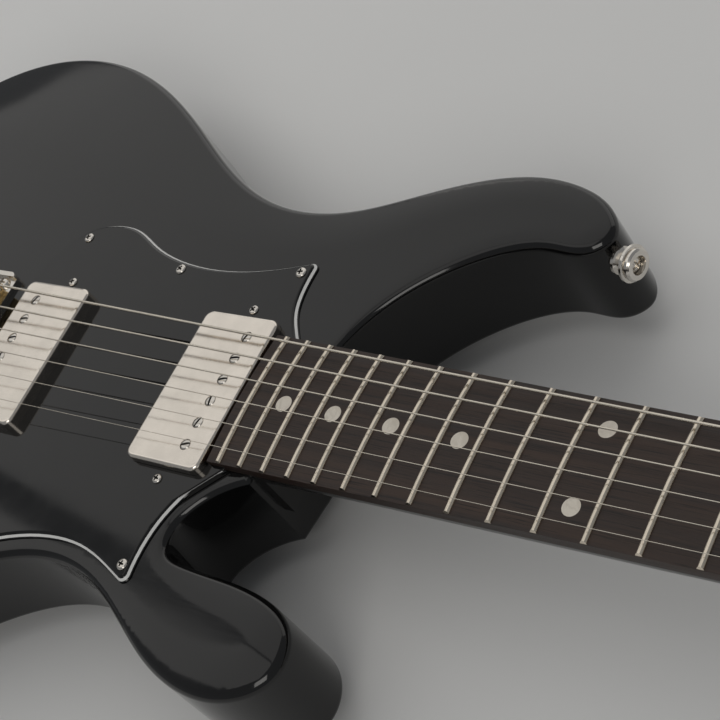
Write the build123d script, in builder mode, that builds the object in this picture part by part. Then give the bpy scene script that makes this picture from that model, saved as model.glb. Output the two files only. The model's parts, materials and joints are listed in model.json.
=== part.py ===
from build123d import *
import os
from math import asin, cos, degrees, radians, sin, sqrt

# Solid-body electric guitar with a set neck, twenty-two frets, two humbucking pickups, a plate
# bridge with two saddles, a one-piece pickguard that carries the controls, and a 3 + 3 headstock.
#
# Row frame, in millimetres: X runs along the neck from the bridge towards the headstock, Y runs
# towards the bass side and Z up out of the top. The origin is on the flat back of the body, on
# the centreline, straight below the line from which the scale length is counted.

os.makedirs("parts", exist_ok=True)

# ---- Driving dimensions: strings and fingerboard ----
SCALE = 635.0
FRET_COUNT = 22
BOARD_RADIUS = 254.0
BOARD_THICKNESS = 6.0
BOARD_END = 172.5
BOARD_END_WIDTH = 57.0
NUT_WIDTH = 42.9
NUT_LENGTH = 4.5
FRET_HEIGHT = 1.2
FRET_WIDTH = 2.5
FRET_SLOT = 0.6
FRET_TANG = 1.6
FRET_INSET = 0.05
DOT_DIAMETER = 6.8
DOT_THICKNESS = 1.5
OCTAVE_DOT_SPREAD = 14.8
SIDE_DOT_RADIUS = 1.0
STRING_SPREAD_BRIDGE = 52.4
STRING_SPREAD_NUT = 35.5
STRING_GAUGES = (1.17, 0.91, 0.66, 0.43, 0.33, 0.25)
STRING_RISE_BRIDGE = 4.8
STRING_RISE_NUT = 1.8
TANGENT_GAP = 3.3

# ---- Driving dimensions: body and neck ----
BODY_THICKNESS = 44.0
BODY_ROUND = 3.0
NECK_ANGLE = 1.0
CROWN_ABOVE_TOP = 9.6
TENON_START = 132.0
TENON_HALF_WIDTH = 28.2
TENON_FLOOR = 20.0
TENON_END = 197.0
POCKET_GAP = 0.05
HEEL_END = 238.0
HEEL_DEPTH = 23.5
SHAFT_DEPTH_HEEL = 17.5
SHAFT_DEPTH_NUT = 14.5
HEAD_ANGLE = 10.0
HEAD_THICKNESS = 14.0
HEAD_START = SCALE + NUT_LENGTH

# ---- Driving dimensions: pickguard ----
PLY = 0.8
GUARD_THICKNESS = 3 * PLY
GUARD_SCREW_SPOTS = (
    (37.0, 62.1),
    (100.8, 52.8),
    (164.2, 58.8),
    (158.0, -74.8),
    (64.0, -84.0),
    (8.0, -119.0),
    (-44.0, -137.5),
    (-103.0, -114.0),
    (-58.0, -75.0),
    (2.0, -57.0),
)

# ---- Driving dimensions: pickups ----
COVER_X = 38.6
COVER_Y = 68.6
COVER_DEPTH = 15.0
COVER_WALL = 0.6
COVER_CORNER = 4.0
POLE_OFFSET = 8.4
POLE_PITCH = 9.82
POLE_HEAD_RADIUS = 2.35
OPENING_GAP = 0.9
HEIGHT_SCREW_SPREAD = 39.0
BOBBIN_HEIGHT = 10.5
BOBBIN_FLANGE = 1.2
COIL_RADIUS = 7.6
FOOT_DROP = 7.0
PICKUP_CAVITY_FLOOR = 22.5
SPRING_RADIUS = 2.4
SPRING_WIRE = 0.35
SLOT_TURNS = (12, -35, 68, 25, -70, 40)
PICKUPS = (
    ("neck_pickup", 151.4, BODY_THICKNESS + 6.6, 1),
    ("bridge_pickup", 43.8, BODY_THICKNESS + 8.0, -1),
)

# ---- Driving dimensions: bridge ----
BRIDGE_FRONT = 7.5
BRIDGE_REAR = -36.0
BRIDGE_HALF_WIDTH = 38.6
BRIDGE_BASE = 2.0
BRIDGE_WALL = 2.2
BRIDGE_WALL_FRONT = 4.2
BRIDGE_WALL_REAR = 13.0
SADDLE_X = -2.0
SADDLE_RADIUS = 4.2
SADDLE_RISE = 0.25
SADDLE_INNER = 1.0
SADDLE_OUTER = 32.0
STRING_HOLE_HEIGHT = 5.4
INTONATION_Y = 21.0
SADDLE_SCREW_YS = (10.5, 28.3)
SADDLE_SCREW_RADIUS = 1.3
GROOVE_GAP = 0.55
GROOVE_FALL = 0.3
BRIDGE_SCREW_Y = 33.0

# ---- Driving dimensions: controls, jack and strap buttons ----
CAVITY_CENTRE = (-25.0, -99.0)
CAVITY_TURN = 19.0
CAVITY_LENGTH = 112.0
CAVITY_WIDTH = 42.0
CAVITY_FLOOR = 10.0
VOLUME_ALONG = 38.0
TONE_ALONG = 0.0
TOGGLE_ALONG = -42.0
POT_SHAFT_RADIUS = 3.0
POT_CAN_RADIUS = 11.8
POT_CAN_DEPTH = 11.0
THREAD_RADIUS = 4.7
THREAD_RISE = 5.0
SHAFT_RISE = 14.0
TOGGLE_THREAD_RADIUS = 5.9
TOGGLE_BORE_RADIUS = 4.6
TOGGLE_PIN_LENGTH = 8.2
RUNNING_GAP = 0.05
JACK_X = -62.0
JACK_FACE_Y = -159.0
JACK_Z = 22.0
JACK_BORE_RADIUS = 3.25
JACK_BORE_LENGTH = 27.0
JACK_SCREW_GRID = 26.0
STRAP_Z = 22.0
STRAP_LENGTH = 9.0
STRAP_RADIUS = 7.2
STRAP_SCREW_FLOOR = 6.0
TAIL_X = -157.4
HORN_SEAT = (287.9, 91.8, 30.0)
HORN_SEAT_NORMAL = (0.985, -0.174, 0)

# ---- Driving dimensions: truss rod ----
ROD_START = 210.0
ROD_RADIUS = 3.0
ROD_DEPTH = BOARD_THICKNESS + 7.5
ROD_NUT_RADIUS = 4.0
ROD_NUT_LENGTH = 9.0
ROD_RECESS_LENGTH = 16.0
ROD_RECESS_WIDTH = 11.0
TRUSS_COVER_THICKNESS = 2.0
COVER_SCREW_SPOTS = ((4.2, 7.4), (4.2, -7.4), (28.0, 0.0))

# ---- Driving dimensions: tuners, in the headstock's own plane ----
POST_SPOTS = ((38.0, 21.0), (78.0, 24.0), (118.0, 26.5))
POST_RADIUS = 3.0
POST_TOP = 16.0
WINDING_HEIGHT = 8.5
BUSHING_RADIUS = 4.9
HOUSING_DEPTH = 9.0
WORM_OFFSET = 7.6
WORM_RADIUS = 2.0
GEAR_RADIUS = 5.2
WORM_LENGTH = 11.0
KEY_SHAFT_RADIUS = 1.7
KEY_REACH = 12.0
WASHER_RADIUS = 7.0
HOUSING_SCREW_SHIFT = 11.0
WINDING_TURNS = (3, 3, 4, 5, 6, 7)
HEAD_HALF_WIDTHS = (35.0, 37.6, 39.6)

TOP = BODY_THICKNESS
GUARD_TOP = TOP + GUARD_THICKNESS
TOGGLE_PIVOT = GUARD_TOP + 0.5
HEAD_SLOPE = NECK_ANGLE + HEAD_ANGLE

# ---- Working planes ----
neck_plane = Plane(
    origin=(0, 0, TOP + CROWN_ABOVE_TOP),
    x_dir=(cos(radians(NECK_ANGLE)), 0, -sin(radians(NECK_ANGLE))),
    z_dir=(sin(radians(NECK_ANGLE)), 0, cos(radians(NECK_ANGLE))),
)
head_plane = Plane(
    origin=neck_plane.from_local_coords((HEAD_START, 0, -BOARD_THICKNESS)),
    x_dir=(cos(radians(HEAD_SLOPE)), 0, -sin(radians(HEAD_SLOPE))),
    z_dir=(sin(radians(HEAD_SLOPE)), 0, cos(radians(HEAD_SLOPE))),
)
back_of_head = head_plane.offset(-HEAD_THICKNESS)


def section_plane(distance):
    """Plane across the neck at a distance from the bridge line, seen from the body."""
    origin = neck_plane.from_local_coords((distance, 0, 0))
    return Plane(origin=origin, x_dir=(0, 1, 0), z_dir=neck_plane.x_dir)


def board_half_width(distance):
    """Half the fingerboard's width at a distance from the bridge line."""
    share = (SCALE - distance) / (SCALE - BOARD_END)
    return (NUT_WIDTH + (BOARD_END_WIDTH - NUT_WIDTH) * share) / 2


def fret_distance(number):
    """Distance of a fret from the bridge line, in equal temperament."""
    return SCALE * 2 ** (-number / 12)


def crown_drop(y):
    """How far the fingerboard's surface lies below its crown at a distance from the centreline."""
    return BOARD_RADIUS - sqrt(BOARD_RADIUS**2 - y**2)


def finish_part(builder, name):
    """Labels a finished piece and writes its STEP file."""
    builder.part.label = name
    export_step(builder.part, f"parts/{name}.step")


def phillips_screw(head_radius, head_height, shank_radius, shank_length):
    """A domed screw with a cross recess: head up from the origin, shank down along -Z."""
    with BuildPart() as screw:
        with BuildSketch(Plane.XZ):
            with BuildLine():
                ThreePointArc(
                    (head_radius, 0.35 * head_height),
                    (0.72 * head_radius, 0.8 * head_height),
                    (0, head_height),
                )
                Polyline(
                    (0, head_height),
                    (0, -shank_length),
                    (0.3 * shank_radius, -shank_length),
                    (shank_radius, -shank_length + 2 * shank_radius),
                    (shank_radius, 0),
                    (head_radius, 0),
                    (head_radius, 0.35 * head_height),
                )
            make_face()
        revolve(axis=Axis.Z)
        with BuildSketch(Plane.XY.offset(0.35 * head_height)):
            Rectangle(1.3 * head_radius, 0.3 * head_radius)
            Rectangle(0.3 * head_radius, 1.3 * head_radius)
        extrude(amount=head_height, mode=Mode.SUBTRACT)
    return screw.part


def tube_along(points, radius):
    """A round bar through a list of points, with a ball at every bend."""
    with BuildPart() as bar:
        for start, end in zip(points, points[1:]):
            run = Vector(*end) - Vector(*start)
            with BuildSketch(Plane(origin=start, z_dir=run)):
                Circle(radius)
            extrude(amount=run.length)
        with Locations(*points[1:-1]):
            Sphere(radius)
    return bar.part


# ---- Body outline: bass side and horn, lower bout, treble side, treble horn and cutaway ----
BASS_EDGE = (
    (198.7, 31.0),
    (210.0, 52.6),
    (226.4, 68.8),
    (245.1, 80.2),
    (266.0, 84.9),
    (282.6, 85.5),
    (289.6, 93.0),
    (283.6, 105.5),
    (268.5, 114.2),
    (250.5, 117.7),
    (226.8, 115.5),
    (196.0, 104.9),
    (168.8, 94.6),
    (141.7, 91.5),
    (118.0, 95.6),
    (93.5, 106.0),
    (53.6, 130.9),
)
LOWER_BOUT = (
    (8.0, 156.0),
    (-42.0, 168.0),
    (-92.0, 158.0),
    (-132.0, 122.0),
    (-153.0, 66.0),
    (-157.5, 0.0),
    (-152.0, -62.0),
    (-132.0, -116.0),
    (-98.0, -148.0),
    (-60.0, -159.5),
    (-16.0, -152.0),
    (28.0, -127.5),
)
TREBLE_EDGE = (
    (62.0, -101.5),
    (88.0, -86.6),
    (116.6, -79.6),
    (140.0, -82.6),
    (160.0, -91.5),
    (182.0, -103.5),
    (206.0, -110.5),
    (229.0, -107.5),
    (242.5, -94.0),
    (239.0, -79.0),
    (222.0, -69.6),
    (200.0, -67.2),
    (181.0, -66.6),
    (170.2, -63.2),
    (168.2, -55.0),
    (171.0, -47.5),
    (177.0, -40.0),
    (191.4, -31.0),
)

GUARD_UPPER_EDGE = (
    (18.2, 36.0),
    (20.2, 47.0),
    (26.0, 58.8),
    (35.8, 67.9),
    (49.2, 71.5),
    (63.0, 70.2),
    (78.0, 63.7),
    (94.5, 58.6),
    (113.2, 56.3),
    (134.2, 57.2),
    (150.0, 60.2),
    (164.6, 64.3),
)
GUARD_HORN_EDGE = (
    (169.4, 61.2),
    (169.7, 51.5),
    (172.0, 42.0),
    (176.5, 34.6),
    (184.0, 25.0),
)
GUARD_CUTAWAY_EDGE = (
    (184.0, -25.0),
    (176.5, -31.4),
    (170.8, -37.0),
    (166.6, -44.4),
    (163.0, -55.0),
    (161.9, -64.0),
    (162.7, -76.8),
)
GUARD_LOWER_EDGE = (
    (158.4, -80.7),
    (149.6, -77.4),
    (133.1, -72.8),
    (115.2, -72.4),
    (89.8, -78.4),
    (62.0, -92.0),
    (32.0, -111.0),
    (-8.0, -134.0),
    (-46.0, -145.0),
    (-84.0, -141.0),
    (-110.0, -124.0),
    (-110.0, -102.0),
    (-84.0, -83.0),
    (-48.0, -67.5),
    (-10.0, -56.0),
    (12.0, -45.0),
    (18.2, -33.0),
)


def control_spot(along):
    """Point on the pickguard's row of controls, counted from the middle of the cavity."""
    turn = radians(CAVITY_TURN)
    return (CAVITY_CENTRE[0] + along * cos(turn), CAVITY_CENTRE[1] + along * sin(turn))


def guard_outline():
    """Flat outline of the pickguard, with every opening."""
    with BuildSketch() as layer:
        with BuildLine():
            Spline(*GUARD_UPPER_EDGE)
            ThreePointArc(GUARD_UPPER_EDGE[-1], (168.3, 64.2), GUARD_HORN_EDGE[0])
            Spline(*GUARD_HORN_EDGE)
            Line(GUARD_HORN_EDGE[-1], GUARD_CUTAWAY_EDGE[0])
            Spline(*GUARD_CUTAWAY_EDGE)
            ThreePointArc(GUARD_CUTAWAY_EDGE[-1], (161.6, -80.2), GUARD_LOWER_EDGE[0])
            Spline(*GUARD_LOWER_EDGE)
            Line(GUARD_LOWER_EDGE[-1], GUARD_UPPER_EDGE[0])
        make_face()
        with Locations((BOARD_END + 25, 0)):
            Rectangle(50, BOARD_END_WIDTH + 0.4, mode=Mode.SUBTRACT)
        for _, centre_x, _, _ in PICKUPS:
            with Locations((centre_x, 0)):
                RectangleRounded(
                    COVER_X + 2 * OPENING_GAP,
                    COVER_Y + 2 * OPENING_GAP,
                    COVER_CORNER + OPENING_GAP,
                    mode=Mode.SUBTRACT,
                )
        with Locations((BOARD_END, 0)):
            Rectangle(6.0, BOARD_END_WIDTH, mode=Mode.SUBTRACT)
        for _, centre_x, _, _ in PICKUPS:
            with Locations((centre_x, HEIGHT_SCREW_SPREAD), (centre_x, -HEIGHT_SCREW_SPREAD)):
                Circle(1.6, mode=Mode.SUBTRACT)
        with Locations(*GUARD_SCREW_SPOTS):
            Circle(1.6, mode=Mode.SUBTRACT)
        with Locations(control_spot(VOLUME_ALONG), control_spot(TONE_ALONG)):
            Circle(4.8, mode=Mode.SUBTRACT)
        with Locations(control_spot(TOGGLE_ALONG)):
            Circle(6.0, mode=Mode.SUBTRACT)
    return layer.sketch


# ---- Fasteners that are let into the wood ----
guard_screw = phillips_screw(2.9, 1.7, 1.5, 14.0)
with BuildPart() as pickguard_screws:
    with Locations(*[(x, y, GUARD_TOP) for x, y in GUARD_SCREW_SPOTS]):
        add(guard_screw)
finish_part(pickguard_screws, "pickguard_screws")

plate_screw = phillips_screw(3.0, 2.0, 1.7, 22.0)
bridge_screw_spots = [
    (x, y, TOP + BRIDGE_BASE) for x in (BRIDGE_REAR + 8.0, 1.6) for y in (-BRIDGE_SCREW_Y, BRIDGE_SCREW_Y)
]
with BuildPart() as bridge_screws:
    with Locations(*bridge_screw_spots):
        add(plate_screw)
finish_part(bridge_screws, "bridge_screws")

# ---- Strings, from the anchor behind the bridge to just short of the tuner posts ----


def string_y(index, spread):
    """Sideways place of a string; index 0 is the thickest, on the bass side."""
    return spread * (0.5 - index / 5)


def string_height(index, distance):
    """Height of a string's axis above the fingerboard's crown plane."""
    share = distance / SCALE
    rise = STRING_RISE_BRIDGE + (STRING_RISE_NUT - STRING_RISE_BRIDGE) * share
    y = string_y(index, STRING_SPREAD_BRIDGE + (STRING_SPREAD_NUT - STRING_SPREAD_BRIDGE) * share)
    return rise - crown_drop(y) + STRING_GAUGES[index] / 2


def post_spot(index):
    """Place of a string's tuner post in the headstock's plane."""
    row = min(index, 5 - index)
    along, across = POST_SPOTS[row]
    return (along, across if index < 3 else -across)


def string_points(index):
    """Corner points of one string: anchor, saddle crest, nut edge and the end at its post."""
    side = 1 if index < 3 else -1
    y_bridge = string_y(index, STRING_SPREAD_BRIDGE)
    y_nut = string_y(index, STRING_SPREAD_NUT)
    anchor = Vector(BRIDGE_REAR - 1.5, y_bridge, TOP + STRING_HOLE_HEIGHT)
    crest = neck_plane.from_local_coords((SADDLE_X, y_bridge, string_height(index, SADDLE_X)))
    edge = neck_plane.from_local_coords((SCALE + 0.4, y_nut, string_height(index, SCALE)))
    along, across = post_spot(index)
    wrap = POST_RADIUS + STRING_GAUGES[index] / 2
    target = head_plane.from_local_coords((along, across - side * wrap, WINDING_HEIGHT))
    run = target - edge
    end = target - run.normalized() * TANGENT_GAP
    return [tuple(point) for point in (anchor, crest, edge, end)]


string_wires = [tube_along(string_points(i), gauge / 2) for i, gauge in enumerate(STRING_GAUGES)]
with BuildPart() as strings:
    for index, wire in enumerate(string_wires):
        add(wire)
        with BuildSketch(Plane(origin=string_points(index)[0], z_dir=(-1, 0, 0))):
            Circle(1.9)
        extrude(amount=3.8)
finish_part(strings, "strings")

# ---- Fingerboard, frets, inlays and nut ----
with BuildPart() as crown_cylinder:
    with BuildSketch(section_plane(BOARD_END - 20)):
        with Locations((0, -BOARD_RADIUS)):
            Circle(BOARD_RADIUS)
    extrude(amount=SCALE)

dot_spots = [
    ((fret_distance(n) + fret_distance(n - 1)) / 2, 0) for n in (3, 5, 7, 9, 15, 17, 19, 21)
]
octave_x = (fret_distance(12) + fret_distance(11)) / 2
dot_spots += [(octave_x, OCTAVE_DOT_SPREAD), (octave_x, -OCTAVE_DOT_SPREAD)]
side_dot_marks = [x for x, _ in dot_spots[:8]] + [octave_x - 3.5, octave_x + 3.5]

with BuildPart() as board_blank:
    with BuildSketch(neck_plane.offset(-BOARD_THICKNESS)):
        with BuildLine():
            Polyline(
                (BOARD_END, -BOARD_END_WIDTH / 2),
                (SCALE, -NUT_WIDTH / 2),
                (SCALE, NUT_WIDTH / 2),
                (BOARD_END, BOARD_END_WIDTH / 2),
                close=True,
            )
        make_face()
    extrude(amount=BOARD_THICKNESS)
    add(crown_cylinder.part, mode=Mode.INTERSECT)

with BuildPart() as inlay_dots:
    with BuildSketch(neck_plane.offset(-DOT_THICKNESS)):
        with Locations(*dot_spots):
            Circle(DOT_DIAMETER / 2)
    extrude(amount=DOT_THICKNESS)
    for mark in side_dot_marks:
        side_plane = Plane(
            origin=neck_plane.from_local_coords((mark, board_half_width(mark) - 2.5, -4.0)),
            x_dir=neck_plane.x_dir,
            z_dir=(0, 1, 0),
        )
        with BuildSketch(side_plane):
            Circle(SIDE_DOT_RADIUS)
        extrude(amount=4.0)
    add(board_blank.part, mode=Mode.INTERSECT)
finish_part(inlay_dots, "inlay_dots")

with BuildPart() as fret_envelope:
    with BuildSketch(neck_plane.offset(-FRET_TANG)):
        with BuildLine():
            end_half = board_half_width(BOARD_END) - FRET_INSET
            nut_half = board_half_width(SCALE) - FRET_INSET
            Polyline(
                (BOARD_END, -end_half),
                (SCALE, -nut_half),
                (SCALE, nut_half),
                (BOARD_END, end_half),
                close=True,
            )
        make_face()
    extrude(amount=FRET_TANG + FRET_HEIGHT + 0.2, taper=20)

fret_arc = 2 * degrees(asin(BOARD_END_WIDTH / 2 / BOARD_RADIUS)) + 1.0
neck_axis_origin = neck_plane.from_local_coords((0, 0, -BOARD_RADIUS))
board_axis = Axis(neck_axis_origin, neck_plane.x_dir)
with BuildPart() as frets:
    for number in range(1, FRET_COUNT + 1):
        centre = fret_distance(number)
        bead_plane = Plane(
            origin=neck_axis_origin,
            x_dir=neck_plane.x_dir,
            z_dir=Vector(0, -1, 0).rotate(Axis((0, 0, 0), neck_plane.x_dir), -fret_arc / 2),
        )
        with BuildSketch(bead_plane):
            with BuildLine():
                ThreePointArc(
                    (centre - FRET_WIDTH / 2, BOARD_RADIUS),
                    (centre, BOARD_RADIUS + FRET_HEIGHT),
                    (centre + FRET_WIDTH / 2, BOARD_RADIUS),
                )
                Polyline(
                    (centre + FRET_WIDTH / 2, BOARD_RADIUS),
                    (centre + FRET_SLOT / 2, BOARD_RADIUS),
                    (centre + FRET_SLOT / 2, BOARD_RADIUS - FRET_TANG),
                    (centre - FRET_SLOT / 2, BOARD_RADIUS - FRET_TANG),
                    (centre - FRET_SLOT / 2, BOARD_RADIUS),
                    (centre - FRET_WIDTH / 2, BOARD_RADIUS),
                )
            make_face()
        revolve(axis=board_axis, revolution_arc=fret_arc)
    add(fret_envelope.part, mode=Mode.INTERSECT)
finish_part(frets, "frets")

with BuildPart() as fretboard:
    add(board_blank.part)
    add(inlay_dots.part, mode=Mode.SUBTRACT)
    add(frets.part, mode=Mode.SUBTRACT)
finish_part(fretboard, "fretboard")

slot_cutters = [
    tube_along(string_points(i), gauge / 2 + 0.05) for i, gauge in enumerate(STRING_GAUGES)
]
with BuildPart() as nut:
    with BuildSketch(section_plane(SCALE)):
        with BuildLine():
            Polyline(
                (-NUT_WIDTH / 2, 0.6),
                (-NUT_WIDTH / 2, -BOARD_THICKNESS),
                (NUT_WIDTH / 2, -BOARD_THICKNESS),
                (NUT_WIDTH / 2, 0.6),
            )
            ThreePointArc((NUT_WIDTH / 2, 0.6), (0, 2.9), (-NUT_WIDTH / 2, 0.6))
        make_face()
    extrude(amount=NUT_LENGTH)
    for index, gauge in enumerate(STRING_GAUGES):
        slot_floor = string_height(index, SCALE) - gauge / 2 - 0.03
        with BuildSketch(section_plane(SCALE - 1)):
            with Locations((string_y(index, STRING_SPREAD_NUT), slot_floor + 5)):
                Rectangle(gauge + 0.1, 10)
        extrude(amount=NUT_LENGTH + 2, mode=Mode.SUBTRACT)
        add(slot_cutters[index], mode=Mode.SUBTRACT)
finish_part(nut, "nut")

# ---- Truss rod with its adjusting nut, and the cover over the nut ----
rod_end = HEAD_START + 3.0
with BuildPart() as truss_rod:
    with BuildSketch(section_plane(ROD_START)):
        with Locations((0, -ROD_DEPTH)):
            Circle(ROD_RADIUS)
    extrude(amount=rod_end - ROD_START)
    with BuildSketch(section_plane(rod_end)):
        with Locations((0, -ROD_DEPTH)):
            RegularPolygon(ROD_NUT_RADIUS, 6)
    extrude(amount=ROD_NUT_LENGTH)
finish_part(truss_rod, "truss_rod")

with BuildPart() as truss_cover:
    with BuildSketch(head_plane):
        with BuildLine():
            Polyline((22.0, 8.2), (1.0, 9.8), (1.0, -9.8), (22.0, -8.2))
            ThreePointArc((22.0, -8.2), (33.0, 0), (22.0, 8.2))
        make_face()
        with Locations(*COVER_SCREW_SPOTS):
            Circle(1.1, mode=Mode.SUBTRACT)
    extrude(amount=TRUSS_COVER_THICKNESS)
finish_part(truss_cover, "truss_cover")

# ---- Tuners: housings, bushings, screws, and for each string a post and a key ----
small_screw = phillips_screw(2.2, 1.4, 1.1, 9.0)
tuner_spots = [post_spot(index) for index in range(6)]
face_up = head_plane.location
upside_down = Location((0, 0, 0), (180, 0, 0))

with BuildPart() as headstock_screws:
    for along, across in COVER_SCREW_SPOTS:
        with Locations(face_up * Location((along, across, TRUSS_COVER_THICKNESS))):
            add(small_screw)
    for along, across in tuner_spots:
        seat = Location((along - HOUSING_SCREW_SHIFT, across, -HEAD_THICKNESS - 1.2))
        with Locations(face_up * seat * upside_down):
            add(small_screw)
finish_part(headstock_screws, "headstock_screws")

with BuildPart() as tuner_housings:
    for along, across in tuner_spots:
        with BuildSketch(back_of_head):
            with Locations((along + 2.0, across)):
                RectangleRounded(18.0, 16.0, 2.0)
        extrude(amount=-HOUSING_DEPTH)
        with BuildSketch(back_of_head):
            with Locations((along - HOUSING_SCREW_SHIFT + 2.5, across)):
                SlotOverall(13.0, 8.0)
        extrude(amount=-1.2)
    for along, across in tuner_spots:
        with BuildSketch(back_of_head.offset(-1.0)):
            with Locations((along, across)):
                Circle(GEAR_RADIUS + 0.4)
            with Locations((along + WORM_OFFSET, across)):
                Rectangle(2 * WORM_RADIUS + 0.8, WORM_LENGTH + 1.0)
        extrude(amount=-HOUSING_DEPTH + 2.0, mode=Mode.SUBTRACT)
        with BuildSketch(back_of_head):
            with Locations((along, across)):
                Circle(POST_RADIUS + RUNNING_GAP)
            with Locations((along - HOUSING_SCREW_SHIFT, across)):
                Circle(1.1)
        extrude(amount=-1.5, mode=Mode.SUBTRACT)
        side = 1 if across > 0 else -1
        worm_centre = (along + WORM_OFFSET, across, -HEAD_THICKNESS - HOUSING_DEPTH / 2)
        with BuildSketch(
            Plane(origin=head_plane.from_local_coords(worm_centre), z_dir=(0, side, 0))
        ):
            Circle(KEY_SHAFT_RADIUS + RUNNING_GAP)
        extrude(amount=12.0, mode=Mode.SUBTRACT)
finish_part(tuner_housings, "tuner_housings")

with BuildPart() as tuner_bushings:
    with BuildSketch(back_of_head):
        with Locations(*tuner_spots):
            Circle(BUSHING_RADIUS)
    extrude(amount=HEAD_THICKNESS)
    with BuildSketch(head_plane):
        with Locations(*tuner_spots):
            Circle(WASHER_RADIUS)
    extrude(amount=0.8)
    with BuildSketch(head_plane.offset(0.8)):
        with Locations(*tuner_spots):
            RegularPolygon(5.8, 6)
    extrude(amount=2.4)
    with BuildSketch(back_of_head):
        with Locations(*tuner_spots):
            Circle(POST_RADIUS + RUNNING_GAP)
    extrude(amount=HEAD_THICKNESS + 5.0, mode=Mode.SUBTRACT)
finish_part(tuner_bushings, "tuner_bushings")

for index, (along, across) in enumerate(tuner_spots):
    side = 1 if across > 0 else -1
    gauge = STRING_GAUGES[index]
    winding_height = gauge * WINDING_TURNS[index]
    with BuildPart() as tuner_post:
        with BuildSketch(back_of_head.offset(-HOUSING_DEPTH + 2.0)):
            with Locations((along, across)):
                Circle(POST_RADIUS)
        extrude(amount=HOUSING_DEPTH - 2.0 + HEAD_THICKNESS + POST_TOP)
        chamfer(tuner_post.edges().filter_by(GeomType.CIRCLE).sort_by(Axis.Z)[-1], 0.6)
        with BuildSketch(back_of_head.offset(-HOUSING_DEPTH / 2 - 1.8)):
            with Locations((along, across)):
                Circle(GEAR_RADIUS)
                with PolarLocations(GEAR_RADIUS, 14):
                    Rectangle(1.6, 0.9, mode=Mode.SUBTRACT)
        extrude(amount=3.6)
    with BuildPart() as string_winding:
        with BuildSketch(head_plane.offset(WINDING_HEIGHT - winding_height / 2)):
            with Locations((along, across)):
                Circle(POST_RADIUS + gauge)
                Circle(POST_RADIUS, mode=Mode.SUBTRACT)
        extrude(amount=winding_height)
    tuner_post.part = Part(children=[tuner_post.part, string_winding.part])
    finish_part(tuner_post, f"tuner_post_{index + 1}")

    row = min(index, 5 - index)
    button_centre = side * (HEAD_HALF_WIDTHS[row] + KEY_REACH)
    worm_height = -HEAD_THICKNESS - HOUSING_DEPTH / 2
    worm_start = (along + WORM_OFFSET, across - side * WORM_LENGTH / 2, worm_height)
    shaft_start = (along + WORM_OFFSET, across + side * WORM_LENGTH / 2, worm_height)
    shaft_length = abs(button_centre - across) - WORM_LENGTH / 2
    with BuildPart() as tuner_key:
        with BuildSketch(head_plane.offset(worm_height - 3.5)):
            with Locations((along + WORM_OFFSET, button_centre)):
                Ellipse(9.6, 7.2)
        extrude(amount=7.0)
        fillet(tuner_key.edges().filter_by(GeomType.ELLIPSE), 2.2)
        with BuildSketch(
            Plane(origin=head_plane.from_local_coords(worm_start), z_dir=(0, side, 0))
        ):
            Circle(WORM_RADIUS)
        extrude(amount=WORM_LENGTH)
        with BuildSketch(
            Plane(origin=head_plane.from_local_coords(shaft_start), z_dir=(0, side, 0))
        ):
            Circle(KEY_SHAFT_RADIUS)
        extrude(amount=shaft_length)
    finish_part(tuner_key, f"tuner_key_{index + 1}")

# ---- Neck with its tenon, heel and headstock ----
def neck_section(distance, depth):
    """D-shaped section of the neck under the fingerboard."""
    half = board_half_width(distance) - 0.15
    with BuildSketch(section_plane(distance)) as section:
        with BuildLine():
            Line((half, -BOARD_THICKNESS), (-half, -BOARD_THICKNESS))
            EllipticalCenterArc(
                (0, -BOARD_THICKNESS), half, depth, start_angle=180, arc_size=180
            )
        make_face()
    return section.sketch


HEAD_EDGE = (
    (0.0, NUT_WIDTH / 2),
    (12.0, 24.5),
    (28.0, 33.0),
    (60.0, 36.8),
    (110.0, 39.4),
    (152.0, 41.5),
)

heel_section = neck_section(192.0, HEEL_DEPTH)
shaft_section = neck_section(HEEL_END, SHAFT_DEPTH_HEEL)
nut_section = neck_section(HEAD_START, SHAFT_DEPTH_NUT)
with BuildPart() as neck:
    with BuildSketch(Plane.XY.offset(TENON_FLOOR)):
        with Locations(((TENON_START + TENON_END) / 2, 0)):
            Rectangle(TENON_END - TENON_START, 2 * TENON_HALF_WIDTH)
    extrude(amount=40.0)
    split(bisect_by=neck_plane.offset(-BOARD_THICKNESS), keep=Keep.BOTTOM)
    loft([heel_section, shaft_section])
    loft([shaft_section, nut_section])
    with BuildSketch(back_of_head):
        with BuildLine():
            Spline(*HEAD_EDGE)
            Spline(HEAD_EDGE[-1], (172.0, 34.0), (182.0, 20.0), (186.0, 0.0))
            Line((186.0, 0.0), (0.0, 0.0))
            Line((0.0, 0.0), HEAD_EDGE[0])
        make_face()
        mirror(about=Plane.XZ)
    extrude(amount=HEAD_THICKNESS)
    with BuildSketch(section_plane(ROD_START)):
        with Locations((0, -BOARD_THICKNESS - 5.2)):
            Rectangle(2 * ROD_RADIUS + 0.2, 10.6)
    extrude(amount=HEAD_START - ROD_START, mode=Mode.SUBTRACT)
    with BuildSketch(section_plane(HEAD_START + 0.8)):
        with Locations((0, -BOARD_THICKNESS - 5.0)):
            Rectangle(ROD_RECESS_WIDTH, 15.0)
    extrude(amount=ROD_RECESS_LENGTH, mode=Mode.SUBTRACT)
    add(truss_rod.part, mode=Mode.SUBTRACT)
    with BuildSketch(back_of_head):
        with Locations(*tuner_spots):
            Circle(BUSHING_RADIUS)
    extrude(amount=HEAD_THICKNESS, mode=Mode.SUBTRACT)
    add(headstock_screws.part, mode=Mode.SUBTRACT)
    with BuildSketch(Plane.XY.offset(PICKUP_CAVITY_FLOOR)):
        with Locations((PICKUPS[0][1], 0)):
            Rectangle(COVER_X + 4.0, COVER_Y + 4.0)
    extrude(amount=30.0, mode=Mode.SUBTRACT)
finish_part(neck, "neck")

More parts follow.
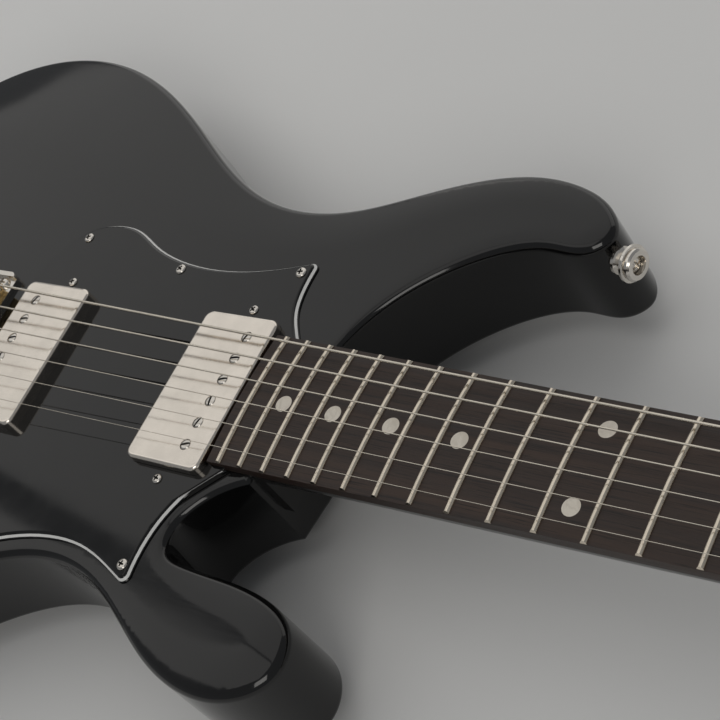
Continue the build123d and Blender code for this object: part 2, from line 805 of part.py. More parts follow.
# ---- Strap buttons and output jack, let into the side of the body ----
horn_seat = Plane(origin=HORN_SEAT, z_dir=HORN_SEAT_NORMAL)
tail_seat = Plane(origin=(TAIL_X, 0, STRAP_Z), z_dir=(-1, 0, 0))
with BuildPart() as strap_button:
    with BuildSketch(Plane.XZ):
        with BuildLine():
            Polyline(
                (2.0, 0.0),
                (5.4, 0.0),
                (5.4, 1.2),
                (3.9, 2.6),
                (3.9, 4.2),
                (5.8, 5.0),
                (STRAP_RADIUS, 5.4),
                (STRAP_RADIUS, 6.4),
                (5.9, 6.8),
                (5.9, 7.1),
                (6.3, 7.3),
                (6.3, 8.2),
                (5.6, STRAP_LENGTH),
                (3.7, STRAP_LENGTH),
                (3.7, STRAP_SCREW_FLOOR),
                (2.0, STRAP_SCREW_FLOOR),
                close=True,
            )
        make_face()
    revolve(axis=Axis.Z)
with BuildPart() as strap_buttons:
    with Locations(horn_seat.location, tail_seat.location):
        add(strap_button.part)
finish_part(strap_buttons, "strap_buttons")

jack_plane = Plane(origin=(JACK_X, JACK_FACE_Y, JACK_Z), x_dir=(1, 0, 0), z_dir=(0, -1, 0))
strap_screw = phillips_screw(3.4, 2.0, 1.9, 30.0)
jack_screw = phillips_screw(2.6, 1.6, 1.3, 12.0)
with BuildPart() as side_screws:
    with Locations(horn_seat.offset(STRAP_SCREW_FLOOR).location):
        add(strap_screw)
    with Locations(tail_seat.offset(STRAP_SCREW_FLOOR).location):
        add(strap_screw)
    with Locations(jack_plane.offset(2.0).location):
        with GridLocations(JACK_SCREW_GRID, JACK_SCREW_GRID, 2, 2):
            add(jack_screw)
finish_part(side_screws, "side_screws")

with BuildPart() as jack_plate:
    with BuildSketch(jack_plane):
        RectangleRounded(34.0, 34.0, 4.0)
        Circle(4.8, mode=Mode.SUBTRACT)
        with GridLocations(JACK_SCREW_GRID, JACK_SCREW_GRID, 2, 2):
            Circle(1.3, mode=Mode.SUBTRACT)
    extrude(amount=2.0)
finish_part(jack_plate, "jack_plate")

with BuildPart() as output_jack:
    with BuildSketch(jack_plane.offset(-24.0)):
        Circle(8.6)
    extrude(amount=24.0)
    with BuildSketch(jack_plane):
        Circle(4.8)
    extrude(amount=5.0)
    with BuildSketch(jack_plane.offset(2.0)):
        RegularPolygon(7.4, 6)
    extrude(amount=2.2)
    with BuildSketch(jack_plane.offset(5.0 - JACK_BORE_LENGTH)):
        Circle(JACK_BORE_RADIUS)
    extrude(amount=JACK_BORE_LENGTH, mode=Mode.SUBTRACT)
finish_part(output_jack, "output_jack")

# ---- Body ----
with BuildPart() as body:
    with BuildSketch():
        with BuildLine():
            Spline(*BASS_EDGE, *LOWER_BOUT, *TREBLE_EDGE)
            Line(TREBLE_EDGE[-1], BASS_EDGE[0])
        make_face()
    extrude(amount=BODY_THICKNESS)
    fillet(body.faces().sort_by(Axis.Z)[-1].edges().filter_by(GeomType.BSPLINE), BODY_ROUND)
    fillet(body.faces().sort_by(Axis.Z)[0].edges().filter_by(GeomType.BSPLINE), BODY_ROUND)
    with BuildSketch(Plane.XY.offset(TENON_FLOOR)):
        with Locations((TENON_START + 40.0, 0)):
            Rectangle(80.0, 2 * (TENON_HALF_WIDTH + POCKET_GAP))
    extrude(amount=BODY_THICKNESS, mode=Mode.SUBTRACT)
    with BuildSketch(Plane.XY.offset(PICKUP_CAVITY_FLOOR)):
        for _, centre_x, _, _ in PICKUPS:
            with Locations((centre_x, 0)):
                RectangleRounded(COVER_X + 4.0, COVER_Y + 4.0, 6.0)
                Rectangle(22.0, 94.0)
    extrude(amount=BODY_THICKNESS, mode=Mode.SUBTRACT)
    with BuildSketch(Plane.XY.offset(CAVITY_FLOOR)):
        with Locations(Location(CAVITY_CENTRE, CAVITY_TURN)):
            RectangleRounded(CAVITY_LENGTH, CAVITY_WIDTH, 10.0)
    extrude(amount=BODY_THICKNESS, mode=Mode.SUBTRACT)
    with BuildSketch(jack_plane):
        RectangleRounded(34.0, 34.0, 4.0)
    extrude(amount=10.0, mode=Mode.SUBTRACT)
    with BuildSketch(jack_plane):
        Circle(9.6)
    extrude(amount=-45.0, mode=Mode.SUBTRACT)
    add(strap_buttons.part, mode=Mode.SUBTRACT)
    add(side_screws.part, mode=Mode.SUBTRACT)
    add(bridge_screws.part, mode=Mode.SUBTRACT)
    add(pickguard_screws.part, mode=Mode.SUBTRACT)
finish_part(body, "body")

# ---- Pickguard: black, white and black plies ----
guard_face = guard_outline()
with BuildPart() as pickguard_black_plies:
    for height in (TOP, TOP + 2 * PLY):
        with BuildSketch(Plane.XY.offset(height)):
            add(guard_face)
        extrude(amount=PLY)
finish_part(pickguard_black_plies, "pickguard_black_plies")

with BuildPart() as pickguard_white_ply:
    with BuildSketch(Plane.XY.offset(TOP + PLY)):
        add(guard_face)
    extrude(amount=PLY)
finish_part(pickguard_white_ply, "pickguard_white_ply")

# ---- Pickups ----
height_screw = phillips_screw(2.6, 1.6, 1.4, 18.5)
with BuildPart() as pickup_height_screws:
    for _, centre_x, _, _ in PICKUPS:
        for across in (HEIGHT_SCREW_SPREAD, -HEIGHT_SCREW_SPREAD):
            with Locations((centre_x, across, GUARD_TOP)):
                add(height_screw)
finish_part(pickup_height_screws, "pickup_height_screws")

pole_places = [POLE_PITCH * (n - 2.5) for n in range(6)]

for name, centre_x, cover_top, pole_side in PICKUPS:
    screw_x = centre_x + pole_side * POLE_OFFSET
    slug_x = centre_x - pole_side * POLE_OFFSET
    base_top = cover_top - COVER_DEPTH
    bobbin_top = cover_top - COVER_WALL
    pole_spots = [(screw_x, y) for y in pole_places]
    slug_spots = [(slug_x, y) for y in pole_places]

    with BuildPart() as cover:
        with BuildSketch(Plane.XY.offset(base_top)):
            with Locations((centre_x, 0)):
                RectangleRounded(COVER_X, COVER_Y, COVER_CORNER)
        extrude(amount=COVER_DEPTH)
        fillet(cover.faces().sort_by(Axis.Z)[-1].edges(), 1.6)
        with BuildSketch(Plane.XY.offset(base_top)):
            with Locations((centre_x, 0)):
                RectangleRounded(
                    COVER_X - 2 * COVER_WALL, COVER_Y - 2 * COVER_WALL, COVER_CORNER - COVER_WALL
                )
        inner = extrude(amount=COVER_DEPTH - COVER_WALL, mode=Mode.PRIVATE)
        add(inner.fillet(1.0, inner.faces().sort_by(Axis.Z)[-1].edges()), mode=Mode.SUBTRACT)
        with BuildSketch(Plane.XY.offset(cover_top - 5)):
            with Locations(*pole_spots):
                Circle(POLE_HEAD_RADIUS + 0.1)
        extrude(amount=10.0, mode=Mode.SUBTRACT)
    finish_part(cover, f"{name}_cover")

    with BuildPart() as poles:
        for spot, turn in zip(pole_spots, SLOT_TURNS):
            with BuildSketch(Plane.XY.offset(cover_top - 1.1)):
                with Locations(spot):
                    Circle(POLE_HEAD_RADIUS)
            extrude(amount=1.6)
            with BuildSketch(Plane.XY.offset(cover_top - 22.0)):
                with Locations(spot):
                    Circle(1.5)
            extrude(amount=21.0)
            with BuildSketch(Plane.XY.offset(cover_top - 0.4)):
                with Locations(Location(spot, pole_side * turn)):
                    Rectangle(10.0, 0.8)
            extrude(amount=2.0, mode=Mode.SUBTRACT)
        with BuildSketch(Plane.XY.offset(base_top)):
            with Locations(*slug_spots):
                Circle(2.4)
        extrude(amount=COVER_DEPTH - COVER_WALL - 0.1)
    finish_part(poles, f"{name}_poles")

    bobbin_spots = ((screw_x, 0), (slug_x, 0))
    with BuildPart() as bobbins:
        with BuildSketch(Plane.XY.offset(bobbin_top - BOBBIN_HEIGHT)):
            with Locations(*bobbin_spots):
                SlotOverall(64.0, 16.0, rotation=90)
        extrude(amount=BOBBIN_HEIGHT)
        with BuildSketch(Plane.XY.offset(bobbin_top - BOBBIN_HEIGHT + BOBBIN_FLANGE)):
            with Locations(*bobbin_spots):
                SlotOverall(66.0, 18.0, rotation=90)
                SlotOverall(55.0, 6.4, rotation=90, mode=Mode.SUBTRACT)
        extrude(amount=BOBBIN_HEIGHT - 2 * BOBBIN_FLANGE, mode=Mode.SUBTRACT)
        add(poles.part, mode=Mode.SUBTRACT)
    finish_part(bobbins, f"{name}_bobbins")

    with BuildPart() as coils:
        with BuildSketch(Plane.XY.offset(bobbin_top - BOBBIN_HEIGHT + BOBBIN_FLANGE)):
            with Locations(*bobbin_spots):
                SlotOverall(48.6 + 2 * COIL_RADIUS, 2 * COIL_RADIUS, rotation=90)
                SlotOverall(55.0, 6.4, rotation=90, mode=Mode.SUBTRACT)
        extrude(amount=BOBBIN_HEIGHT - 2 * BOBBIN_FLANGE)
    finish_part(coils, f"{name}_coils")

    with BuildPart() as magnet:
        with Locations((centre_x, 0, (base_top + bobbin_top - BOBBIN_HEIGHT) / 2)):
            Box(10.0, 62.0, 3.2)
    finish_part(magnet, f"{name}_magnet")

    with BuildPart() as baseplate:
        with BuildSketch(Plane.XY.offset(base_top - 1.0)):
            with Locations((centre_x, 0)):
                RectangleRounded(COVER_X, COVER_Y, COVER_CORNER)
        extrude(amount=1.0)
        for side in (1, -1):
            foot_plane = Plane(
                origin=(centre_x - 9.0, 0, base_top - 1.0), x_dir=(0, 1, 0), z_dir=(1, 0, 0)
            )
            with BuildSketch(foot_plane):
                with BuildLine():
                    Polyline(
                        (side * 32.8, 0.5),
                        (side * 32.8, -FOOT_DROP),
                        (side * 44.5, -FOOT_DROP),
                        (side * 44.5, 1.0 - FOOT_DROP),
                        (side * 33.8, 1.0 - FOOT_DROP),
                        (side * 33.8, 0.5),
                        close=True,
                    )
                make_face()
            extrude(amount=18.0)
        with BuildSketch(Plane.XY.offset(base_top - 10.0)):
            with Locations((centre_x, HEIGHT_SCREW_SPREAD), (centre_x, -HEIGHT_SCREW_SPREAD)):
                Circle(1.4 + RUNNING_GAP)
        extrude(amount=15.0, mode=Mode.SUBTRACT)
        add(poles.part, mode=Mode.SUBTRACT)
    finish_part(baseplate, f"{name}_baseplate")

with BuildPart() as pickup_springs:
    for _, centre_x, cover_top, _ in PICKUPS:
        foot_top = cover_top - COVER_DEPTH - FOOT_DROP
        spring_bottom = foot_top + SPRING_WIRE + 0.1
        spring_height = TOP - SPRING_WIRE - 0.1 - spring_bottom
        for across in (HEIGHT_SCREW_SPREAD, -HEIGHT_SCREW_SPREAD):
            with BuildLine():
                coil_line = Helix(
                    pitch=spring_height / 7,
                    height=spring_height,
                    radius=SPRING_RADIUS,
                    center=(centre_x, across, spring_bottom),
                )
            with BuildSketch(Plane(origin=coil_line @ 0, z_dir=coil_line % 0)):
                Circle(SPRING_WIRE)
            sweep(path=coil_line, is_frenet=True)
finish_part(pickup_springs, "pickup_springs")

# ---- Bridge: plate, saddles and their screws ----
saddle_sides = (("bass", 1, (0, 1, 2)), ("treble", -1, (5, 4, 3)))


def string_bottom(index):
    """Underside of a string where it crosses its saddle."""
    return string_points(index)[1][2] - STRING_GAUGES[index] / 2


def saddle_axis_height(y):
    """Height of a saddle's axis at a distance from the centreline."""
    side_indices = (0, 2) if y > 0 else (5, 3)
    outer, inner = (string_bottom(i) for i in side_indices)
    y_outer, y_inner = (abs(string_y(i, STRING_SPREAD_BRIDGE)) for i in side_indices)
    slope = (outer - inner) / (y_outer - y_inner)
    return inner + slope * (abs(y) - y_inner) + SADDLE_RISE - SADDLE_RADIUS


intonation_screw = phillips_screw(2.7, 2.0, 1.5, 40.0)
with BuildPart() as intonation_screws:
    for across in (INTONATION_Y, -INTONATION_Y):
        head_centre = (BRIDGE_REAR, across, saddle_axis_height(across))
        with Locations(Plane(origin=head_centre, x_dir=(0, 1, 0), z_dir=(-1, 0, 0)).location):
            add(intonation_screw)
finish_part(intonation_screws, "intonation_screws")

with BuildPart() as bridge_plate:
    with BuildSketch(Plane.XY.offset(TOP)):
        with BuildLine():
            Polyline(
                (BRIDGE_REAR, -BRIDGE_HALF_WIDTH),
                (BRIDGE_FRONT, -BRIDGE_HALF_WIDTH),
                (BRIDGE_FRONT, BRIDGE_HALF_WIDTH),
                (BRIDGE_REAR, BRIDGE_HALF_WIDTH),
                close=True,
            )
        make_face()
    extrude(amount=BRIDGE_WALL_REAR)
    fillet(bridge_plate.edges().filter_by(Axis.Z).group_by(Axis.X)[-1], 3.0)
    fillet(bridge_plate.edges().filter_by(Axis.Z).group_by(Axis.X)[0], 2.0)
    with BuildSketch(Plane.XZ.offset(-60)):
        with BuildLine():
            Polyline(
                (BRIDGE_REAR + 12.0, TOP + BRIDGE_WALL_REAR + 1),
                (BRIDGE_REAR + 12.0, TOP + BRIDGE_WALL_REAR),
                (BRIDGE_REAR + 26.0, TOP + BRIDGE_WALL_FRONT),
                (BRIDGE_FRONT + 5.0, TOP + BRIDGE_WALL_FRONT),
                (BRIDGE_FRONT + 5.0, TOP + BRIDGE_WALL_REAR + 1),
                close=True,
            )
        make_face()
    extrude(amount=120.0, mode=Mode.SUBTRACT)
    with BuildSketch(Plane.XY.offset(TOP + BRIDGE_BASE)):
        with Locations(((BRIDGE_REAR + 4.0 + BRIDGE_FRONT + 20.0) / 2, 0)):
            Rectangle(
                BRIDGE_FRONT + 20.0 - BRIDGE_REAR - 4.0, 2 * (BRIDGE_HALF_WIDTH - BRIDGE_WALL)
            )
    extrude(amount=30.0, mode=Mode.SUBTRACT)
    with BuildSketch(Plane(origin=(BRIDGE_REAR - 1, 0, 0), x_dir=(0, 1, 0), z_dir=(1, 0, 0))):
        for index in range(6):
            hole = (string_y(index, STRING_SPREAD_BRIDGE), TOP + STRING_HOLE_HEIGHT + 0.6)
            with Locations(hole):
                SlotOverall(3.6, 2.2, rotation=90)
        for across in (INTONATION_Y, -INTONATION_Y):
            with Locations((across, saddle_axis_height(across))):
                Circle(1.55)
    extrude(amount=10.0, mode=Mode.SUBTRACT)
    add(bridge_screws.part, mode=Mode.SUBTRACT)
finish_part(bridge_plate, "bridge_plate")

for name, side, indices in saddle_sides:
    inner_end = (SADDLE_X, side * SADDLE_INNER, saddle_axis_height(side * SADDLE_INNER))
    outer_end = (SADDLE_X, side * SADDLE_OUTER, saddle_axis_height(side * SADDLE_OUTER))
    with BuildPart() as height_screws:
        for across in SADDLE_SCREW_YS:
            screw_bottom = TOP + BRIDGE_BASE + 0.1
            screw_top = saddle_axis_height(side * across) + SADDLE_RADIUS - 0.3
            with BuildSketch(Plane.XY.offset(screw_bottom)):
                with Locations((SADDLE_X, side * across)):
                    Circle(SADDLE_SCREW_RADIUS)
            extrude(amount=screw_top - screw_bottom)
            with BuildSketch(Plane.XY.offset(screw_top - 1.6)):
                with Locations((SADDLE_X, side * across)):
                    RegularPolygon(0.85, 6)
            extrude(amount=3.0, mode=Mode.SUBTRACT)
    finish_part(height_screws, f"{name}_saddle_screws")

    with BuildPart() as saddle:
        with BuildSketch(Plane(origin=inner_end, z_dir=Vector(*outer_end) - Vector(*inner_end))):
            Circle(SADDLE_RADIUS)
        extrude(amount=(Vector(*outer_end) - Vector(*inner_end)).length)
        chamfer(saddle.edges().filter_by(GeomType.CIRCLE), 0.5)
        for index in indices:
            gauge = STRING_GAUGES[index]
            groove_floor = string_bottom(index) - GROOVE_GAP
            groove_side = -string_y(index, STRING_SPREAD_BRIDGE) - (gauge + 0.8) / 2
            with BuildSketch(Plane.XZ.offset(groove_side)):
                with BuildLine():
                    Polyline(
                        (SADDLE_X - 10, groove_floor - 10 * GROOVE_FALL),
                        (SADDLE_X, groove_floor),
                        (SADDLE_X + 10, groove_floor),
                        (SADDLE_X + 10, groove_floor + 6),
                        (SADDLE_X - 10, groove_floor + 6),
                        close=True,
                    )
                make_face()
            extrude(amount=gauge + 0.8, mode=Mode.SUBTRACT)
        with BuildSketch(Plane.YZ.offset(SADDLE_X - 10)):
            with Locations((side * INTONATION_Y, saddle_axis_height(side * INTONATION_Y))):
                Circle(1.5 + RUNNING_GAP)
        extrude(amount=20.0, mode=Mode.SUBTRACT)
        with BuildSketch(Plane.XY.offset(TOP)):
            with Locations(*[(SADDLE_X, side * across) for across in SADDLE_SCREW_YS]):
                Circle(SADDLE_SCREW_RADIUS)
        extrude(amount=30.0, mode=Mode.SUBTRACT)
    finish_part(saddle, f"{name}_saddle")

# ---- Controls: potentiometers, knobs, toggle switch and their nuts ----
pot_spots = [control_spot(VOLUME_ALONG), control_spot(TONE_ALONG)]
toggle_spot = control_spot(TOGGLE_ALONG)

with BuildPart() as potentiometers:
    with BuildSketch(Plane.XY.offset(TOP - POT_CAN_DEPTH)):
        with Locations(*pot_spots):
            Circle(POT_CAN_RADIUS)
    extrude(amount=POT_CAN_DEPTH)
    with BuildSketch(Plane.XY.offset(TOP)):
        with Locations(*pot_spots):
            Circle(THREAD_RADIUS)
    extrude(amount=GUARD_THICKNESS + THREAD_RISE)
    with BuildSketch(Plane.XY.offset(TOP - 8.0)):
        with Locations(*pot_spots):
            Circle(POT_SHAFT_RADIUS + RUNNING_GAP)
    extrude(amount=30.0, mode=Mode.SUBTRACT)
finish_part(potentiometers, "potentiometers")

with BuildPart() as toggle_switch:
    with BuildSketch(Plane.XY.offset(TOP - 25.0)):
        with Locations(Location(toggle_spot, CAVITY_TURN)):
            RectangleRounded(20.0, 15.0, 1.5)
    extrude(amount=25.0)
    with BuildSketch(Plane.XY.offset(TOP)):
        with Locations(toggle_spot):
            Circle(TOGGLE_THREAD_RADIUS)
    extrude(amount=GUARD_THICKNESS + THREAD_RISE)
    with BuildSketch(Plane.XY.offset(TOP - 22.0)):
        with Locations(Location(toggle_spot, CAVITY_TURN)):
            Rectangle(16.0, 11.0)
    extrude(amount=20.0, mode=Mode.SUBTRACT)
    with BuildSketch(Plane.XY.offset(TOP - 3.0)):
        with Locations(toggle_spot):
            Circle(TOGGLE_BORE_RADIUS)
    extrude(amount=20.0, mode=Mode.SUBTRACT)
finish_part(toggle_switch, "toggle_switch")

with BuildPart() as control_nuts:
    with BuildSketch(Plane.XY.offset(GUARD_TOP)):
        with Locations(*pot_spots):
            Circle(7.6)
    extrude(amount=0.6)
    with BuildSketch(Plane.XY.offset(GUARD_TOP + 0.6)):
        with Locations(*pot_spots):
            RegularPolygon(6.3, 6)
    extrude(amount=2.2)
    with BuildSketch(Plane.XY.offset(GUARD_TOP)):
        with Locations(toggle_spot):
            Circle(8.5)
    extrude(amount=2.6)
    with BuildSketch(Plane.XY.offset(GUARD_TOP)):
        with Locations(*pot_spots):
            Circle(THREAD_RADIUS)
        with Locations(toggle_spot):
            Circle(TOGGLE_THREAD_RADIUS)
    extrude(amount=5.0, mode=Mode.SUBTRACT)
finish_part(control_nuts, "control_nuts")

for name, spot in zip(("volume", "tone"), pot_spots):
    with BuildPart() as shaft:
        with BuildSketch(Plane.XY.offset(TOP - 7.5)):
            with Locations(spot):
                Circle(POT_SHAFT_RADIUS)
        extrude(amount=7.5 + GUARD_THICKNESS + SHAFT_RISE)
    finish_part(shaft, f"{name}_shaft")

    with BuildPart() as knob:
        with BuildSketch(Plane.XZ):
            with BuildLine():
                Polyline(
                    (POT_SHAFT_RADIUS, 5.6),
                    (9.4, 5.6),
                    (10.6, 0.0),
                    (12.4, 0.0),
                    (12.0, 1.6),
                    (10.4, 4.6),
                    (9.6, 14.2),
                    (8.8, 15.4),
                    (0, 15.4),
                    (0, SHAFT_RISE - 1.4),
                    (POT_SHAFT_RADIUS, SHAFT_RISE - 1.4),
                    close=True,
                )
            make_face()
        revolve(axis=Axis.Z)
    knob.part = Part(children=[knob.part.moved(Location((spot[0], spot[1], GUARD_TOP + 1.4)))])
    finish_part(knob, f"{name}_knob")

toggle_axis = (-sin(radians(CAVITY_TURN)), cos(radians(CAVITY_TURN)), 0)
pivot_point = Vector(toggle_spot[0], toggle_spot[1], TOGGLE_PIVOT)
pin_start = pivot_point - Vector(*toggle_axis) * TOGGLE_PIN_LENGTH / 2
with BuildPart() as toggle_lever:
    with Locations(pivot_point):
        Sphere(3.4)
    with BuildSketch(Plane(origin=pin_start, z_dir=toggle_axis)):
        Circle(1.0)
    extrude(amount=TOGGLE_PIN_LENGTH)
    with BuildSketch(Plane.XY.offset(TOGGLE_PIVOT - 14.0)):
        with Locations(toggle_spot):
            Circle(1.2)
    extrude(amount=14.0)
    with BuildSketch(Plane.XY.offset(TOGGLE_PIVOT)):
        with Locations(toggle_spot):
            Circle(1.7)
    extrude(amount=14.0)
with BuildPart() as toggle_tip:
    with BuildSketch(Plane.XY.offset(TOGGLE_PIVOT + 9.0)):
        with Locations(toggle_spot):
            Circle(3.0)
    with BuildSketch(Plane.XY.offset(TOGGLE_PIVOT + 22.0)):
        with Locations(toggle_spot):
            Circle(4.4)
    loft()
    fillet(toggle_tip.edges().group_by(Axis.Z)[-1], 2.0)
    add(toggle_lever.part, mode=Mode.SUBTRACT)
toggle_lever.part = Part(children=[toggle_lever.part, toggle_tip.part])
finish_part(toggle_lever, "toggle_lever")
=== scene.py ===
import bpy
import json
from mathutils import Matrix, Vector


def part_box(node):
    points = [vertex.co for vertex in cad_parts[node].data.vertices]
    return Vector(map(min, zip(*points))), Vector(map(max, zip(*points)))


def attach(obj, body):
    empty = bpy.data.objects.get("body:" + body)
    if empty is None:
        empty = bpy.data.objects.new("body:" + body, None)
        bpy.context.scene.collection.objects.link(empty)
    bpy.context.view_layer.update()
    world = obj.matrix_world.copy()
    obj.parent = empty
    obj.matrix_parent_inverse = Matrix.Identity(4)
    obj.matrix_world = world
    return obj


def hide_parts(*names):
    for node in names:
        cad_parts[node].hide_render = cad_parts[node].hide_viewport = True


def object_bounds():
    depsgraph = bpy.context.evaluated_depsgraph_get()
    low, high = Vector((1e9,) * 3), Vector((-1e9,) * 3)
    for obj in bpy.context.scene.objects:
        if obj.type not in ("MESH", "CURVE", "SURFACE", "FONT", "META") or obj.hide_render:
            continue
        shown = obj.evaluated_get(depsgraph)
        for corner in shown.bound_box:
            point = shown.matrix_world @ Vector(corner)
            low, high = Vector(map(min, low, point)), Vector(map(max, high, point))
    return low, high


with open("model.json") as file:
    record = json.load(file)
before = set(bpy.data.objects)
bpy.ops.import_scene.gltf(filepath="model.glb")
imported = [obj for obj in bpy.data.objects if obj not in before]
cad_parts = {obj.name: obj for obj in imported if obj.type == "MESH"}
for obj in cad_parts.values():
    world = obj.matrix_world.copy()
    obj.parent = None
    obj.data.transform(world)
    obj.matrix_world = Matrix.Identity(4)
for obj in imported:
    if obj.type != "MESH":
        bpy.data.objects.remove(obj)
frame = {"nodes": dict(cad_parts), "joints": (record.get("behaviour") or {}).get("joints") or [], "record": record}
cad_box = [list(corner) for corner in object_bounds()]

import json
from math import cos, pi, radians, sin

import bmesh
import bpy
import numpy as np
from mathutils import Matrix, Vector
from mathutils.geometry import delaunay_2d_cdt

MM = 0.001
scene = bpy.context.scene
nodes = frame["nodes"]
record = frame["record"]

# ---------------------------------------------------------------- camera and light
camera = bpy.data.objects.new("camera", bpy.data.cameras.new("camera"))
scene.collection.objects.link(camera)
camera.data.lens = 91.12
camera.data.sensor_width = 36.0
camera.data.clip_start = 0.02
camera.data.clip_end = 50.0
camera.data.dof.use_dof = False
CAMERA_RIGHT = (0.756912, 0.444104, -0.479433)
CAMERA_UP = (-0.128456, 0.82042, 0.557147)
CAMERA_BACK = (0.640767, -0.360124, 0.678033)
CAMERA_PLACE = (0.641162, -0.2148, 0.498278)
camera.matrix_world = Matrix(
    [*zip(CAMERA_RIGHT, CAMERA_UP, CAMERA_BACK, CAMERA_PLACE), (0, 0, 0, 1)]
)
scene.camera = camera
scene.view_settings.view_transform = "Standard"


WARM_WHITE = (1, 0.975, 0.935)
LIGHT_TURN = radians(-9.4)
LIGHT_PIVOT = Vector((-1.7, 0.445))
LIGHT_HEIGHT = 1.6


def area_light(name, centre, size, watts, aim):
    """A soft rectangular light that faces a point."""
    data = bpy.data.lights.new(name, "AREA")
    data.shape = "RECTANGLE"
    data.size, data.size_y = size
    data.energy = watts
    data.color = WARM_WHITE
    light = bpy.data.objects.new(name, data)
    light.location = centre
    light.rotation_mode = "QUATERNION"
    light.rotation_quaternion = (Vector(aim) - Vector(centre)).to_track_quat("-Z", "Y")
    scene.collection.objects.link(light)
    return light


def overhead(name, low, high, left, right, watts):
    """A level softbox, low to high across the instrument and left to right along it, before a
    small turn about the pivot."""
    unturned = Vector(((left + right) / 2, (low + high) / 2))
    place = LIGHT_PIVOT + Matrix.Rotation(LIGHT_TURN, 2) @ unturned
    light = area_light(
        name, (*place, LIGHT_HEIGHT), (right - left, high - low), watts, (*place, 0.0)
    )
    light.rotation_mode = "XYZ"
    light.rotation_euler = (0, 0, LIGHT_TURN)


overhead("overhead_softbox", 0.03, 2.3, -1.5, 2.4, 12.8)
overhead("overhead_strip", -0.9, -0.03, -1.5, 2.4, 5.8)
area_light("side_softbox", (-0.8, 3.1, 1.0), (4.8, 1.7), 15.0, (-0.8, 0.0, 1.0))
area_light("front_softbox", (1.7, -1.9, 1.9), (1.4, 1.4), 16.0, (0.3, 0.0, 0.0))

world = bpy.data.worlds.new("studio")
world.use_nodes = True
background = world.node_tree.nodes["Background"]
background.inputs["Color"].default_value = (0.9, 0.92, 0.95, 1)
background.inputs["Strength"].default_value = 0.24
scene.world = world


# ---------------------------------------------------------------- materials
class Shader:
    """A Principled material with short calls for the nodes that feed it."""

    def __init__(self, name, colour, roughness=0.5, metallic=0.0, **sockets):
        self.material = bpy.data.materials.new(name)
        self.material.use_nodes = True
        self.tree = self.material.node_tree
        self.bsdf = self.tree.nodes["Principled BSDF"]
        self.material.diffuse_color = (*colour, 1)
        self.set(self.bsdf, "Base Color", (*colour, 1))
        self.set(self.bsdf, "Roughness", roughness)
        self.set(self.bsdf, "Metallic", metallic)
        for socket, value in sockets.items():
            self.set(self.bsdf, socket.replace("_", " "), value)
        self.place = self.node("ShaderNodeTexCoord").outputs["Object"]

    def set(self, node, socket, value):
        if hasattr(value, "is_output"):
            self.tree.links.new(value, node.inputs[socket])
        else:
            node.inputs[socket].default_value = value

    def node(self, kind, **values):
        node = self.tree.nodes.new(kind)
        for key, value in values.items():
            if key in node.inputs:
                self.set(node, key, value)
            else:
                setattr(node, key, value)
        return node

    def stretch(self, x, y, z, turn=0.0):
        """Object coordinates, scaled along each axis."""
        mapping = self.node("ShaderNodeMapping", Vector=self.place)
        mapping.inputs["Scale"].default_value = (x, y, z)
        mapping.inputs["Rotation"].default_value = (0, 0, turn)
        return mapping.outputs["Vector"]

    def noise(self, vector, scale=1.0, detail=3.0, roughness=0.5, distortion=0.0):
        node = self.node("ShaderNodeTexNoise", Vector=vector, Scale=scale, Detail=detail)
        node.inputs["Roughness"].default_value = roughness
        node.inputs["Distortion"].default_value = distortion
        return node.outputs["Fac"]

    def ramp(self, factor, *stops):
        """Turns a factor into colours or greys at the given places."""
        node = self.node("ShaderNodeValToRGB", Fac=factor)
        elements = node.color_ramp.elements
        while len(elements) < len(stops):
            elements.new(0.5)
        for element, (place, value) in zip(elements, stops):
            element.position = place
            element.color = (*(value if isinstance(value, tuple) else (value,) * 3), 1)
        return node.outputs["Color"]

    def spread(self, factor, low, high):
        """Maps the middle half of a noise to the range from low to high."""
        node = self.node("ShaderNodeMapRange", Value=factor)
        node.inputs["From Min"].default_value = 0.25
        node.inputs["From Max"].default_value = 0.75
        node.inputs["To Min"].default_value = low
        node.inputs["To Max"].default_value = high
        return node.outputs["Result"]

    def mix(self, factor, a, b, blend="MIX"):
        """Mixes two colours or greys through the node's factor (0) and colour sockets (6, 7)."""
        node = self.tree.nodes.new("ShaderNodeMix")
        node.data_type = "RGBA"
        node.blend_type = blend
        for index, value in ((0, factor), (6, a), (7, b)):
            if hasattr(value, "is_output"):
                self.tree.links.new(value, node.inputs[index])
            else:
                node.inputs[index].default_value = value
        return node.outputs[2]

    def bump(self, height, strength, distance, normal=None):
        node = self.node("ShaderNodeBump", Height=height)
        node.inputs["Strength"].default_value = strength
        node.inputs["Distance"].default_value = distance
        if normal:
            self.set(node, "Normal", normal)
        return node.outputs["Normal"]


def lacquer(name, colour, gloss):
    """Polished lacquer: a faint unevenness and a veil of fine wiping marks."""
    s = Shader(name, colour, gloss, IOR=1.5)
    veil = s.noise(s.stretch(14, 14, 14), detail=4)
    marks = s.noise(s.stretch(60, 900, 400, 0.6), detail=2)
    both = s.mix(0.45, veil, marks)
    s.set(s.bsdf, "Roughness", s.spread(both, gloss, gloss + 0.07))
    s.set(s.bsdf, "Base Color", s.ramp(veil, (0.3, colour), (0.8, tuple(1.5 * c for c in colour))))
    ripple = s.noise(s.stretch(45, 45, 45), detail=1)
    s.set(s.bsdf, "Normal", s.bump(ripple, 0.06, 0.0004))
    return s.material


